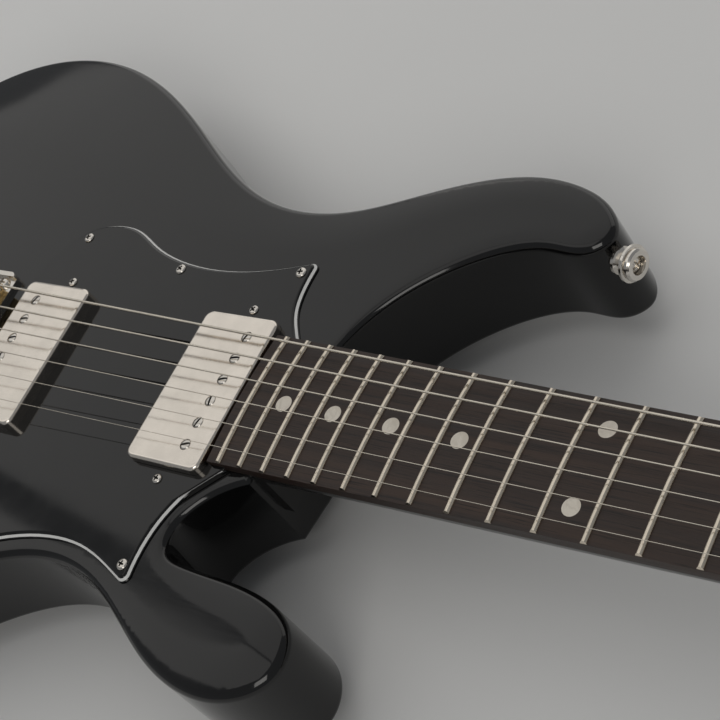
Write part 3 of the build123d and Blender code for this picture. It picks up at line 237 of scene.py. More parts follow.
def plated(name, colour, low, high, brush=(400, 400, 400), scratch=0.04):
    """Plated or bare metal with polishing marks and slight tarnish."""
    s = Shader(name, colour, low, 1.0)
    haze = s.noise(s.stretch(90, 90, 90), detail=4)
    lines = s.noise(s.stretch(*brush), detail=3, roughness=0.6)
    s.set(s.bsdf, "Roughness", s.spread(s.mix(0.5, haze, lines), low, high))
    dull = tuple(0.86 * c for c in colour)
    s.set(s.bsdf, "Base Color", s.ramp(haze, (0.3, dull), (0.7, colour)))
    s.set(s.bsdf, "Normal", s.bump(lines, scratch, 0.0001))
    return s.material


def plastic(name, colour, low, high, grain=0.03):
    """Moulded or sheet plastic."""
    s = Shader(name, colour, low, IOR=1.49)
    cloud = s.noise(s.stretch(70, 70, 70), detail=4)
    s.set(s.bsdf, "Roughness", s.spread(cloud, low, high))
    pale = tuple(min(1.0, 1.15 * c + 0.002) for c in colour)
    s.set(s.bsdf, "Base Color", s.ramp(cloud, (0.3, colour), (0.75, pale)))
    fine = s.noise(s.stretch(900, 900, 900), detail=2)
    s.set(s.bsdf, "Normal", s.bump(fine, grain, 0.0001))
    return s.material


def rosewood():
    """Dark open-pored wood with fine streaks along the neck."""
    s = Shader("rosewood", (0.02, 0.012, 0.009), 0.5, IOR=1.45)
    along = s.stretch(5, 260, 260)
    streaks = s.noise(along, detail=6, roughness=0.62, distortion=0.25)
    broad = s.noise(s.stretch(2.2, 60, 60), detail=3)
    fine = s.noise(s.stretch(28, 1500, 1500), detail=4, roughness=0.7)
    tone = s.ramp(
        s.mix(0.4, streaks, broad),
        (0.3, (0.014, 0.008, 0.006)),
        (0.48, (0.029, 0.0165, 0.012)),
        (0.6, (0.047, 0.028, 0.02)),
        (0.75, (0.074, 0.046, 0.033)),
    )
    pore = s.ramp(fine, (0.36, 0.0), (0.47, 1.0))
    s.set(s.bsdf, "Base Color", s.mix(0.72, tone, s.mix(1.0, tone, pore, "MULTIPLY")))
    s.set(s.bsdf, "Roughness", s.spread(streaks, 0.38, 0.6))
    relief = s.bump(fine, 0.5, 0.00018)
    s.set(s.bsdf, "Normal", s.bump(streaks, 0.2, 0.0002, relief))
    return s.material


def inlay():
    """Pale polished dot with a faint cloud in it."""
    s = Shader("inlay", (0.55, 0.55, 0.5), 0.22, IOR=1.5)
    cloud = s.noise(s.stretch(240, 150, 240), detail=4, distortion=0.8)
    tone = s.ramp(cloud, (0.3, (0.66, 0.6, 0.51)), (0.7, (0.8, 0.74, 0.64)))
    s.set(s.bsdf, "Base Color", tone)
    s.set(s.bsdf, "Roughness", s.spread(cloud, 0.18, 0.34))
    return s.material


def coil_wire():
    """Fine lacquered copper turns, with painted shade in the grooves between them and a painted highlight on their
    crests.
    """
    s = Shader("coil_wire", (0.3, 0.1, 0.03), 0.35, 0.6)
    turns = s.node("ShaderNodeTexWave", Vector=s.stretch(1, 1, 1), Scale=2500.0)
    turns.bands_direction = "Z"
    ridge = turns.outputs["Fac"]
    s.set(s.bsdf, "Normal", s.bump(ridge, 0.6, 0.0001))
    # The colour follows the turns' relief: painted shade in the grooves, painted highlight on the crests.
    s.set(s.bsdf, "Base Color", s.ramp(ridge, (0, (0.16, 0.05, 0.015)), (1, (0.42, 0.15, 0.05))))
    return s.material


def floor_paint():
    """Plain pale floor with a faint cloud."""
    s = Shader("floor_paint", (0.8, 0.8, 0.79), 0.7)
    cloud = s.noise(s.stretch(3, 3, 3), detail=5)
    tone = s.ramp(cloud, (0.3, (0.78, 0.78, 0.77)), (0.7, (0.83, 0.83, 0.82)))
    s.set(s.bsdf, "Base Color", tone)
    return s.material


BLACK = (0.0035, 0.0035, 0.0036)
looks = {
    "body_lacquer": lacquer("body_lacquer", BLACK, 0.05),
    "neck_lacquer": lacquer("neck_lacquer", (0.004, 0.0037, 0.0035), 0.12),
    "fingerboard_wood": rosewood(),
    "fret_wire": plated("fret_wire", (0.86, 0.77, 0.64), 0.16, 0.3, (900, 60, 900), 0.05),
    "inlay": inlay(),
    "nut": plastic("nut", (0.72, 0.69, 0.6), 0.2, 0.36),
    "steel": plated("steel", (0.5, 0.5, 0.5), 0.25, 0.45),
    "black_plastic": plastic("black_plastic", (0.008, 0.008, 0.008), 0.3, 0.5),
    "screw_nickel": plated("screw_nickel", (0.8, 0.76, 0.7), 0.12, 0.26),
    "guard_black": plastic("guard_black", BLACK, 0.03, 0.08, 0.004),
    "guard_white": plastic("guard_white", (0.8, 0.8, 0.78), 0.3, 0.45),
    "nickel": plated("nickel", (0.8, 0.76, 0.7), 0.1, 0.24),
    "pickup_nickel": plated("pickup_nickel", (0.93, 0.86, 0.77), 0.14, 0.26, (300, 60, 300), 0.02),
    "brass": plated("brass", (0.75, 0.56, 0.27), 0.2, 0.4),
    "string_steel": plated("string_steel", (0.78, 0.72, 0.62), 0.16, 0.32, (2000, 300, 2000)),
    "knob_plastic": plastic("knob_plastic", (0.006, 0.006, 0.006), 0.06, 0.14, 0.01),
    "coil_wire": coil_wire(),
    "magnet": plated("magnet", (0.28, 0.28, 0.29), 0.45, 0.7),
}
for part in record["subparts"]:
    if part["node"] in nodes:
        mesh = nodes[part["node"]].data
        mesh.materials.clear()
        mesh.materials.append(looks[part["material_slot"]])


# ---------------------------------------------------------------- mesh helpers
def make_piece(name, verts, faces, slot, body, sharp=35.0):
    """A mesh piece with smooth faces, creased where it turns sharply."""
    mesh = bpy.data.meshes.new(name)
    mesh.from_pydata([tuple(v) for v in verts], [], [tuple(f) for f in faces])
    work = bmesh.new()
    work.from_mesh(mesh)
    bmesh.ops.remove_doubles(work, verts=work.verts, dist=1e-6)
    bmesh.ops.recalc_face_normals(work, faces=work.faces)
    work.to_mesh(mesh)
    work.free()
    mesh.shade_smooth()
    mesh.set_sharp_from_angle(angle=radians(sharp))
    mesh.materials.append(looks[slot])
    piece = bpy.data.objects.new(name, mesh)
    scene.collection.objects.link(piece)
    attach(piece, body)
    return piece


def outline_loops(node, height):
    """Closed outlines of a CAD node's walls at a height, the longest first, in metres."""
    mesh = nodes[node].data
    links = {}
    for polygon in mesh.polygons:
        if abs(polygon.normal.z) > 0.7:
            continue
        for a, b in polygon.edge_keys:
            pa, pb = mesh.vertices[a].co, mesh.vertices[b].co
            if abs(pa.z - height) > 2e-5 or abs(pb.z - height) > 2e-5:
                continue
            ka, kb = ((round(p.x * 1e6), round(p.y * 1e6)) for p in (pa, pb))
            if ka != kb:
                links.setdefault(ka, set()).add(kb)
                links.setdefault(kb, set()).add(ka)
    loops = []
    left = set(links)
    while left:
        ends = [k for k in left if len(links[k]) == 1]
        start = min(ends or left)
        loop = [start]
        left.discard(start)
        while True:
            onward = [k for k in links[loop[-1]] if k in left]
            if not onward:
                break
            loop.append(onward[0])
            left.discard(onward[0])
        loops.append(np.array(loop) * 1e-6)
    loops.sort(key=lambda p: -np.linalg.norm(p - np.roll(p, 1, 0), axis=1).sum())
    return [p if area(p) > 0 else p[::-1] for p in loops if len(p) > 2]


def area(points):
    """Signed area of a closed outline."""
    x, y = points[:, 0], points[:, 1]
    return 0.5 * float((x * np.roll(y, -1) - y * np.roll(x, -1)).sum())


def spline(points, step):
    """Natural cubic spline through open points, resampled at an even step."""
    s = np.concatenate([[0], np.cumsum(np.linalg.norm(np.diff(points, axis=0), axis=1))])
    n = len(s)
    h = np.diff(s)
    a = np.zeros((n, n))
    b = np.zeros((n, points.shape[1]))
    a[0, 0] = a[-1, -1] = 1
    for i in range(1, n - 1):
        a[i, i - 1], a[i, i], a[i, i + 1] = h[i - 1], 2 * (h[i - 1] + h[i]), h[i]
        b[i] = 6 * ((points[i + 1] - points[i]) / h[i] - (points[i] - points[i - 1]) / h[i - 1])
    m = np.linalg.solve(a, b)
    t = np.linspace(0, s[-1], max(2, int(round(s[-1] / step)) + 1))
    i = np.clip(np.searchsorted(s, t) - 1, 0, n - 2)
    u = (s[i + 1] - t)[:, None]
    v = (t - s[i])[:, None]
    w = h[i][:, None]
    return (
        m[i] * u**3 / (6 * w)
        + m[i + 1] * v**3 / (6 * w)
        + (points[i] / w - m[i] * w / 6) * u
        + (points[i + 1] / w - m[i + 1] * w / 6) * v
    )


def inset(points, distances):
    """Moves each side of a closed outline inwards by its own distance."""
    n = len(points)
    sides = np.roll(points, -1, 0) - points
    sides /= np.linalg.norm(sides, axis=1)[:, None]
    inward = np.stack([-sides[:, 1], sides[:, 0]], 1)
    result = np.empty_like(points)
    for i in range(n):
        n0, n1 = inward[i - 1], inward[i]
        d0, d1 = distances[i - 1], distances[i]
        cross = n0[0] * n1[1] - n0[1] * n1[0]
        if abs(cross) < 1e-3:
            result[i] = points[i] + (n0 + n1) / max(1e-9, np.linalg.norm(n0 + n1)) * (d0 + d1) / 2
        else:
            result[i] = points[i] + np.array(
                [(d0 * n1[1] - d1 * n0[1]) / cross, (d1 * n0[0] - d0 * n1[0]) / cross]
            )
    return result


def bridge(faces, first, second, count):
    """Quads between two closed rings of vertices."""
    for i in range(count):
        j = (i + 1) % count
        faces.append((first + i, first + j, second + j, second + i))


def fill(loops, inner_points=()):
    """Triangles of a region with holes: the first loop is the outside."""
    verts = [Vector(p) for loop in loops for p in loop]
    edges = []
    start = 0
    for loop in loops:
        edges += [(start + i, start + (i + 1) % len(loop)) for i in range(len(loop))]
        start += len(loop)
    verts += [Vector(p) for p in inner_points]
    out = delaunay_2d_cdt(verts, edges, [], 1 if len(loops) == 1 else 4, 1e-9)
    return np.array([tuple(v) for v in out[0]]), out[2]


def inside(points, polygon):
    """Which points lie inside a closed polygon."""
    x, y = points[:, 0], points[:, 1]
    result = np.zeros(len(points), bool)
    for (x0, y0), (x1, y1) in zip(polygon, np.roll(polygon, -1, 0)):
        crossing = (y0 > y) != (y1 > y)
        if y1 != y0:
            result ^= crossing & (x < (x1 - x0) * (y - y0) / (y1 - y0) + x0)
    return result


# ---------------------------------------------------------------- body
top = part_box("pickguard_black_plies")[0].z
EDGE_RADIUS = 3 * MM
RIM_STEP = 1.6 * MM
FINE_RIM_STEP = 0.4 * MM


def closed_rim(curve, count):
    """The curved rim with the straight wall under the neck added to close it."""
    return np.concatenate([curve, np.linspace(curve[-1], curve[0], count)[1:-1]])


wall = outline_loops("body", EDGE_RADIUS)[0]
gaps = np.linalg.norm(np.roll(wall, -1, 0) - wall, axis=1)
wall = np.roll(wall, -1 - int(gaps.argmax()), 0)
curve = spline(wall, RIM_STEP)
rim = closed_rim(curve, 24)

# Soft bevels in mm: (x, y, band width, drop at the edge), each for the nearest place on the rim.
BEVELS = np.array(
    [
        (200, 31, 6, 0.0),
        (226, 69, 8, 0.4),
        (245, 80, 8, 0.9),
        (270, 86, 8, 1.2),
        (289, 93, 10, 1.7),
        (283, 106, 12, 1.8),
        (268, 114, 13, 1.9),
        (250, 118, 14, 1.9),
        (227, 115, 16, 2.0),
        (196, 105, 19, 2.0),
        (169, 95, 22, 2.0),
        (142, 92, 23, 1.9),
        (118, 96, 25, 1.9),
        (93, 106, 32, 2.1),
        (54, 131, 42, 2.8),
        (8, 156, 56, 3.4),
        (-42, 168, 62, 3.8),
        (-92, 158, 56, 3.4),
        (-132, 122, 36, 2.2),
        (-153, 66, 14, 0.6),
        (-157, 0, 8, 0.0),
        (-152, -62, 8, 0.0),
        (-98, -148, 8, 0.0),
        (-16, -152, 8, 0.0),
        (62, -101, 8, 0.0),
        (88, -87, 6, 0.3),
        (117, -80, 5, 0.6),
        (140, -83, 5, 0.8),
        (182, -103, 14, 2.6),
        (206, -110, 18, 3.2),
        (229, -107, 18, 3.6),
        (242, -94, 16, 3.6),
        (239, -79, 14, 3.4),
        (222, -70, 14, 3.2),
        (200, -67, 14, 2.6),
        (181, -67, 9, 1.8),
        (170, -63, 4, 1.0),
        (168, -55, 3.5, 0.8),
        (177, -40, 3.5, 0.5),
        (191, -31, 3.5, 0.2),
    ]
)


def along_rim(points):
    """Bevel width and drop at points of the rim, by length along it between the listed places."""
    length = np.concatenate([[0], np.cumsum(np.linalg.norm(np.diff(points, axis=0), axis=1))])
    total = length[-1] + np.linalg.norm(points[-1] - points[0])
    place = []
    for x, y, _, _ in BEVELS:
        nearest = np.linalg.norm(points - np.array([x, y]) * MM, axis=1).argmin()
        place.append(length[nearest])
    order = np.argsort(place)
    place = np.array(place)[order]
    values = BEVELS[order][:, 2:] * MM
    place = np.concatenate([place - total, place, place + total])
    values = np.concatenate([values, values, values])
    return [np.interp(length, place, values[:, k]) for k in (0, 1)]


SMOOTHING = 30
CHUNK = 1500
fine_rim = closed_rim(spline(curve, FINE_RIM_STEP), 150)
kernel = np.ones(2 * SMOOTHING + 1) / (2 * SMOOTHING + 1)
band, drop = (
    np.convolve(np.concatenate([v[-SMOOTHING:], v, v[:SMOOTHING]]), kernel, mode="valid")
    for v in along_rim(fine_rim)
)


def rim_distance(points):
    """Distance to the rim, and the bevel's width and drop at the nearest place on it."""
    result = np.empty((len(points), 3))
    ends = np.roll(fine_rim, -1, 0)
    runs = ends - fine_rim
    squares = (runs**2).sum(1)
    for start in range(0, len(points), CHUNK):
        part = points[start : start + CHUNK]
        nearest = ((part[:, None, :] - fine_rim[None]) ** 2).sum(2).argmin(1)
        best = np.full(len(part), 1e9)
        for shift in (-1, 0):
            i = (nearest + shift) % len(fine_rim)
            j = (i + 1) % len(fine_rim)
            t = np.clip(((part - fine_rim[i]) * runs[i]).sum(1) / squares[i], 0, 1)
            gap = np.linalg.norm(part - fine_rim[i] - runs[i] * t[:, None], axis=1)
            closer = gap < best
            best = np.where(closer, gap, best)
            row = result[start : start + CHUNK]
            row[closer, 0] = gap[closer]
            row[closer, 1] = ((1 - t) * band[i] + t * band[j])[closer]
            row[closer, 2] = ((1 - t) * drop[i] + t * drop[j])[closer]
    return result


def top_height(points):
    """Height of the body's top over flat points, soft bevels included."""
    gap, width, fall = rim_distance(points).T
    return top - fall * np.clip(1 - gap / width, 0, 1) ** 2


ROUND_STEPS = 9
FINE_PITCH, COARSE_PITCH = 2.2 * MM, 9 * MM
ROW_RATIO = 0.866


def body_shell():
    """The body's outside: flat back, round-overs, wall and a softly bevelled top."""
    n = len(rim)
    verts, faces = [], []
    radius = EDGE_RADIUS
    rings = []
    for k in range(ROUND_STEPS + 1):
        turn = 0.5 * pi * (1 - k / ROUND_STEPS)
        ring = inset(rim, np.full(n, radius * (1 - cos(turn))))
        rings.append(np.column_stack([ring, np.full(n, radius * (1 - sin(turn)))]))
    for k in range(ROUND_STEPS + 1):
        turn = 0.5 * pi * k / ROUND_STEPS
        ring = inset(rim, np.full(n, radius * (1 - cos(turn))))
        rings.append(np.column_stack([ring, top_height(ring) - radius * (1 - sin(turn))]))
    for ring in rings:
        verts += [tuple(p) for p in ring]
    for k in range(len(rings) - 1):
        bridge(faces, k * n, (k + 1) * n, n)
    loop = rings[-1][:, :2]
    lo, hi = loop.min(0), loop.max(0)
    grid = []
    for pitch, fine in ((FINE_PITCH, 1), (COARSE_PITCH, 0)):
        for r, y in enumerate(np.arange(lo[1], hi[1], pitch * ROW_RATIO)):
            xs = np.arange(lo[0] + (pitch / 2) * (r % 2), hi[0], pitch)
            grid += [(x, y, fine) for x in xs]
    grid = np.array(grid)
    grid = grid[inside(grid[:, :2], loop)]
    gap, width, _ = rim_distance(grid[:, :2]).T
    bevelled = gap < width + 4 * MM
    wanted = (grid[:, 2] == 1) & bevelled & (gap > radius + 1.2 * MM)
    wanted |= (grid[:, 2] == 0) & ~bevelled & (gap > radius + 4 * MM)
    points, triangles = fill([loop], grid[wanted][:, :2])
    base = len(verts)
    verts += [(x, y, z) for (x, y), z in zip(points, top_height(points))]
    faces += [tuple(base + i for i in t) for t in triangles]
    bottom, triangles = fill([rings[0][:, :2]])
    base = len(verts)
    verts += [(x, y, 0.0) for x, y in bottom]
    faces += [tuple(base + i for i in t) for t in triangles]
    return make_piece("body_shell", verts, faces, "body_lacquer", "instrument", 30)


def prism(loop, low, high):
    """A closed block with a flat outline, as a cutting tool."""
    count = len(loop)
    verts = [(x, y, z) for z in (low, high) for x, y in loop]
    faces = [tuple(range(count))[::-1], tuple(range(count, 2 * count))]
    bridge(faces, 0, count, count)
    return verts, faces


def rounded_box(centre, half, radius, turn=0.0, steps=6):
    """Outline of a rounded rectangle."""
    points = []
    for corner, (sx, sy) in enumerate(((1, 1), (-1, 1), (-1, -1), (1, -1))):
        for k in range(steps + 1):
            a = 0.5 * pi * (corner + k / steps)
            x = sx * (half[0] - radius) + radius * cos(a)
            y = sy * (half[1] - radius) + radius * sin(a)
            along, across = x * cos(turn) - y * sin(turn), x * sin(turn) + y * cos(turn)
            points.append((centre[0] + along, centre[1] + across))
    return points


def cut(piece, tools):
    """Cuts blocks out of a piece for good."""
    for verts, faces in tools:
        mesh = bpy.data.meshes.new("tool")
        mesh.from_pydata(verts, [], faces)
        work = bmesh.new()
        work.from_mesh(mesh)
        bmesh.ops.recalc_face_normals(work, faces=work.faces)
        work.to_mesh(mesh)
        work.free()
        tool = bpy.data.objects.new("tool", mesh)
        scene.collection.objects.link(tool)
        modifier = piece.modifiers.new("cut", "BOOLEAN")
        modifier.operation = "DIFFERENCE"
        modifier.solver = "EXACT"
        modifier.object = tool
        bpy.context.view_layer.update()
        shaped = bpy.data.meshes.new_from_object(
            piece.evaluated_get(bpy.context.evaluated_depsgraph_get())
        )
        piece.modifiers.clear()
        piece.data = shaped
        bpy.data.objects.remove(tool)
    piece.data.shade_smooth()
    piece.data.set_sharp_from_angle(angle=radians(30))


def middle(node):
    """Centre of a CAD node's box."""
    low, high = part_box(node)
    return (low + high) / 2


# Cavities in metres: centre and half size, then the corner's radius and the turn where there is
# one. Floors are heights above the back, and tools end well above the top or outside the wall.
ABOVE = 0.06
POCKET = ((0.172, 0.0), (0.04, 0.02825))
POCKET_FLOOR = 0.02
PICKUP_GAP, PICKUP_CORNER = 0.002, 0.006
PICKUP_FLOOR, FEET_FLOOR = 0.0225, 0.0224
FEET_HALF, FEET_CORNER = (0.011, 0.047), 0.001
CONTROLS = ((-0.025, -0.099), (0.056, 0.021), 0.01, radians(19))
CONTROLS_FLOOR = 0.01
JACK_HALF, JACK_CORNER, JACK_BORE, JACK_DEPTH = 0.017, 0.004, 0.0096, 0.045
OUTSIDE = 0.19


def square(centre, half):
    """Outline of a plain rectangle."""
    (x, y), (a, b) = centre, half
    return [(x - a, y - b), (x + a, y - b), (x + a, y + b), (x - a, y + b)]


def from_side(block):
    """Turns a block drawn in (x, z) and along -y to stand in the body's side."""
    verts, faces = block
    return [(x, -z, y) for x, y, z in verts], faces


def body_cavities():
    """Neck pocket, pickup and control cavities, and the jack's recess and bore."""
    tools = [prism(square(*POCKET), POCKET_FLOOR, ABOVE)]
    for pickup in ("neck_pickup", "bridge_pickup"):
        low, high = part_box(pickup + "_cover")
        centre = (low + high) / 2
        half = ((high.x - low.x) / 2 + PICKUP_GAP, (high.y - low.y) / 2 + PICKUP_GAP)
        tools.append(prism(rounded_box(centre, half, PICKUP_CORNER), PICKUP_FLOOR, ABOVE))
        feet = rounded_box(centre, FEET_HALF, FEET_CORNER, steps=1)
        tools.append(prism(feet, FEET_FLOOR, ABOVE))
    tools.append(prism(rounded_box(*CONTROLS), CONTROLS_FLOOR, ABOVE))
    jack = middle("jack_plate")
    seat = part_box("jack_plate")[1].y
    recess = rounded_box((jack.x, jack.z), (JACK_HALF, JACK_HALF), JACK_CORNER)
    tools.append(from_side(prism(recess, -seat, OUTSIDE)))
    angles = np.linspace(0, 2 * pi, 32, False)
    bore = [(jack.x + JACK_BORE * cos(a), jack.z + JACK_BORE * sin(a)) for a in angles]
    tools.append(from_side(prism(bore, -seat - JACK_DEPTH, OUTSIDE)))
    return tools


shell = body_shell()
cut(shell, body_cavities())
weighted = shell.modifiers.new("weighted normals", "WEIGHTED_NORMAL")
weighted.keep_sharp = True
weighted.weight = 60
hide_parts("body")

# ---------------------------------------------------------------- pickguard
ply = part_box("pickguard_white_ply")
guard_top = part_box("pickguard_black_plies")[1].z
board_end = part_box("fretboard")[0].x
GUARD_BEVEL = 1.9 * MM
BEVEL_START = top + 0.45 * MM
NOTCH_HALF = 28.75 * MM
OPENING_CORNER = 4.5 * MM
BLACK_GAP, WHITE_GAP = 0.7 * MM, 1.2 * MM
CLOSE_UP = 0.8 * MM
WHITE_SET_BACK = 0.6 * MM


def guard_ring(loop, height, hidden=0.0):
    """The pickguard's outline at a height on its bevelled rim; it stays upright round the neck and
    closes up on the neck pickup. The hidden distance sets a ply back there."""
    share = max(0.0, (height - BEVEL_START) / (guard_top - BEVEL_START))
    low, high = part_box("neck_pickup_cover")

    def kept(x, y):
        """Where the outline runs along the neck or the neck pickup."""
        near_neck = (np.abs(y) < NOTCH_HALF) & (x > board_end - 8 * MM)
        near_pickup = (np.abs(y) < high.y + 3 * MM) & (x > low.x - 3 * MM)
        return near_neck | (near_pickup & (x < high.x + 2.6 * MM))

    ends = np.roll(loop, -1, 0)
    upright = kept(*loop.T) & kept(*ends.T)
    beside = upright & (np.maximum(loop[:, 0], ends[:, 0]) < board_end + 1 * MM)
    distances = np.where(upright, hidden, share * GUARD_BEVEL)
    return inset(loop, np.where(beside, hidden - CLOSE_UP, distances))


def bridge_opening(gap):
    """The opening round the bridge pickup, at a distance from its cover."""
    low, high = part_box("bridge_pickup_cover")
    half = ((high.x - low.x) / 2 + gap, (high.y - low.y) / 2 + gap)
    return np.array(rounded_box((low + high) / 2, half, OPENING_CORNER))


def pickguard():
    """Three plies: the rim's bevel shows the white one between two black ones."""
    loops = outline_loops("pickguard_white_ply", ply[0].z)
    outer, screw_holes = loops[0], [loop for loop in loops[1:] if np.ptp(loop[:, 1]) < 0.03]
    round_over = 0.25 * MM
    bands = {
        "pickguard_bottom": (top, BEVEL_START, ply[0].z),
        "pickguard_white": (ply[0].z, ply[1].z),
        "pickguard_top": (ply[1].z, guard_top - round_over, guard_top),
    }
    for name, levels in bands.items():
        verts, faces = [], []
        white = name == "pickguard_white"
        holes = screw_holes + [bridge_opening(WHITE_GAP if white else BLACK_GAP)]
        rings = [guard_ring(outer, z, WHITE_SET_BACK * white) for z in levels]
        if name == "pickguard_top":
            rings[-1] = guard_ring(outer, guard_top + round_over)
        for group in [rings] + [[hole] * len(levels) for hole in holes]:
            base = len(verts)
            count = len(group[0])
            for ring, z in zip(group, levels):
                verts += [(x, y, z) for x, y in ring]
            for k in range(len(levels) - 1):
                bridge(faces, base + k * count, base + (k + 1) * count, count)
        for ring, z in ((rings[0], levels[0]), (rings[-1], levels[-1])):
            points, triangles = fill([ring, *holes])
            base = len(verts)
            verts += [(x, y, z) for x, y in points]
            faces += [tuple(base + i for i in t) for t in triangles]
        slot = "guard_white" if white else "guard_black"
        piece = make_piece(name, verts, faces, slot, "instrument", 25)
        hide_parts("pickguard_white_ply" if white else "pickguard_black_plies")


pickguard()


# ---------------------------------------------------------------- strings
def islands(node):
    """Vertex places of each separate solid of a CAD node."""
    work = bmesh.new()
    work.from_mesh(nodes[node].data)
    bmesh.ops.remove_doubles(work, verts=work.verts, dist=1e-6)
    left = set(work.verts)
    groups = []
    while left:
        stack = [left.pop()]
        group = []
        while stack:
            vert = stack.pop()
            group.append(tuple(vert.co))
            for edge in vert.link_edges:
                other = edge.other_vert(vert)
                if other in left:
                    left.discard(other)
                    stack.append(other)
        groups.append(np.array(group))
    work.free()
    return groups


def tube(path, radii, sides, verts, faces):
    """A round tube along a fine path, closed at both ends."""
    path = np.array(path)
    tangents = np.gradient(path, axis=0)
    tangents /= np.linalg.norm(tangents, axis=1)[:, None]
    up = np.array([0.0, 0.0, 1.0])
    if abs(tangents[0] @ up) > 0.9:
        up = np.array([1.0, 0.0, 0.0])
    normal = up - tangents[0] * (up @ tangents[0])
    base = len(verts)
    angles = 2 * pi * np.arange(sides) / sides
    for point, tangent, radius in zip(path, tangents, radii):
        normal = normal - tangent * (normal @ tangent)
        normal /= np.linalg.norm(normal)
        side = np.cross(tangent, normal)
        for a in angles:
            verts.append(tuple(point + radius * (cos(a) * normal + sin(a) * side)))
    for k in range(len(path) - 1):
        bridge(faces, base + k * sides, base + (k + 1) * sides, sides)
    faces.append(tuple(range(base, base + sides))[::-1])
    faces.append(tuple(range(base + (len(path) - 1) * sides, base + len(path) * sides)))


def soft_corners(points, reach=0.004, steps=6):
    """A path whose corners are rounded over a short reach."""
    points = [Vector(p) for p in points]
    path = [points[0]]
    for before, corner, after in zip(points, points[1:], points[2:]):
        a = corner + (before - corner).normalized() * reach
        b = corner + (after - corner).normalized() * reach
        for k in range(steps + 1):
            t = k / steps
            path.append(a * (1 - t) ** 2 + corner * 2 * t * (1 - t) + b * t * t)
    return path + [points[-1]]


def evenly(path, step):
    """Points along a path at an even step."""
    points = np.array([tuple(p) for p in path])
    length = np.concatenate([[0], np.cumsum(np.linalg.norm(np.diff(points, axis=0), axis=1))])
    t = np.arange(0, length[-1], step)
    return np.column_stack([np.interp(t, length, points[:, k]) for k in range(3)])


STATION_GAP = 8 * MM
WOUND_FROM, HEAVY_FROM = 0.6 * MM, 0.8 * MM
LIGHT_WRAP, HEAVY_WRAP = 0.3 * MM, 0.36 * MM
RIDGE_SHARE = 0.075
SPOOL_SIDES = 20
# Ball end in mm: (distance behind the anchor, radius).
SPOOL = (
    (0.0, 0.9),
    (0.0, 1.9),
    (0.7, 1.95),
    (1.2, 1.45),
    (2.6, 1.45),
    (3.1, 1.95),
    (3.8, 1.9),
    (3.8, 0.9),
)


def string_stations(points):
    """Middle of a string at its anchor, saddle, nut and end, and its thickness."""
    xs = np.sort(points[:, 0])
    breaks = np.where(np.diff(xs) > STATION_GAP)[0]
    limits = np.concatenate([[xs[0] - 1], (xs[breaks] + xs[breaks + 1]) / 2, [xs[-1] + 1]])
    stations = []
    for low, high in zip(limits, limits[1:]):
        part = points[(points[:, 0] > low) & (points[:, 0] < high)]
        stations.append((part.min(0) + part.max(0)) / 2)
    last = points[points[:, 0] > limits[-2]]
    thickness = last[:, 1].max() - last[:, 1].min()
    stations[0][0] = points[:, 0].min() + SPOOL[-1][0] * MM
    return stations, thickness


def string_mesh(path, gauge):
    """A plain string, or a wound one with three rings to each turn of its wrap."""
    verts, faces = [], []
    radius = gauge / 2
    if gauge > WOUND_FROM:
        pitch = HEAVY_WRAP if gauge > HEAVY_FROM else LIGHT_WRAP
        fine = evenly(path, pitch / 3)
        radii = radius * (1 - RIDGE_SHARE * (1 - np.cos(2 * pi * np.arange(len(fine)) / 3)))
        tube(fine, radii, 8, verts, faces)
    else:
        tube([tuple(p) for p in path], [radius] * len(path), 10, verts, faces)
    return verts, faces


def ball_end(anchor):
    """The small spool that holds a string behind its anchor."""
    verts, faces = [], []
    for along, radius in SPOOL:
        for a in 2 * pi * np.arange(SPOOL_SIDES) / SPOOL_SIDES:
            side, up = radius * MM * cos(a), radius * MM * sin(a)
            verts.append((anchor[0] - along * MM, anchor[1] + side, anchor[2] + up))
    for k in range(len(SPOOL)):
        bridge(faces, SPOOL_SIDES * k, SPOOL_SIDES * ((k + 1) % len(SPOOL)), SPOOL_SIDES)
    return verts, faces


# Strings, posts and windings are numbered from the bass side.
string_gauges = []
for number, group in enumerate(sorted(islands("strings"), key=lambda g: -g[:, 1].mean())):
    stations, gauge = string_stations(group)
    string_gauges.append(gauge)
    verts, faces = string_mesh(soft_corners(stations), gauge)
    string = make_piece(f"string_{number + 1}", verts, faces, "string_steel", "instrument", 60)
    verts, faces = ball_end(stations[0])
    ball = make_piece(f"ball_end_{number + 1}", verts, faces, "brass", "instrument", 35)
    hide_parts("strings")
    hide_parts("strings")

# ---------------------------------------------------------------- tuner posts with their windings
joints = {joint["name"]: joint for joint in frame["joints"]}


def lathe(profile, sides):
    """Turns (radius, height) pairs about Z into a closed solid."""
    angles = [2 * pi * k / sides for k in range(sides)]
    verts = [(r * cos(a), r * sin(a), height) for r, height in profile for a in angles]
    faces = []
    for k in range(len(profile) - 1):
        bridge(faces, k * sides, (k + 1) * sides, sides)
    faces.append(tuple(range(sides))[::-1])
    faces.append(tuple(range((len(profile) - 1) * sides, len(profile) * sides)))
    return verts, faces


def placed(verts, origin, axis):
    """Moves points made about Z to a joint's place and axis."""
    turn = Vector((0, 0, 1)).rotation_difference(Vector(axis)).to_matrix()
    return [tuple(turn @ Vector(v) + Vector(origin)) for v in verts]


POST = 3.0 * MM
# Post: (share of its radius, height above the joint in mm).
POST_PROFILE = (
    (0.7, -21),
    (1, -20.5),
    (1, 5.2),
    (0.93, 6.2),
    (0.86, 7.5),
    (0.86, 9.8),
    (0.93, 11.2),
    (1, 12.2),
    (1, 15.2),
    (0.86, 16),
    (0.3, 16),
    (0.24, 15.2),
    (0.05, 15.1),
)
GEAR_TEETH = 14
GEAR_ROOT, GEAR_TIP = 4.4 * MM, 5.2 * MM
GEAR_LOW, GEAR_HIGH = -20.3 * MM, -16.7 * MM
TURNS = (3, 3, 4, 5, 6, 7)
TURN_STEPS = 28
WINDING_MIDDLE = 8.5 * MM
WAIST = 0.9


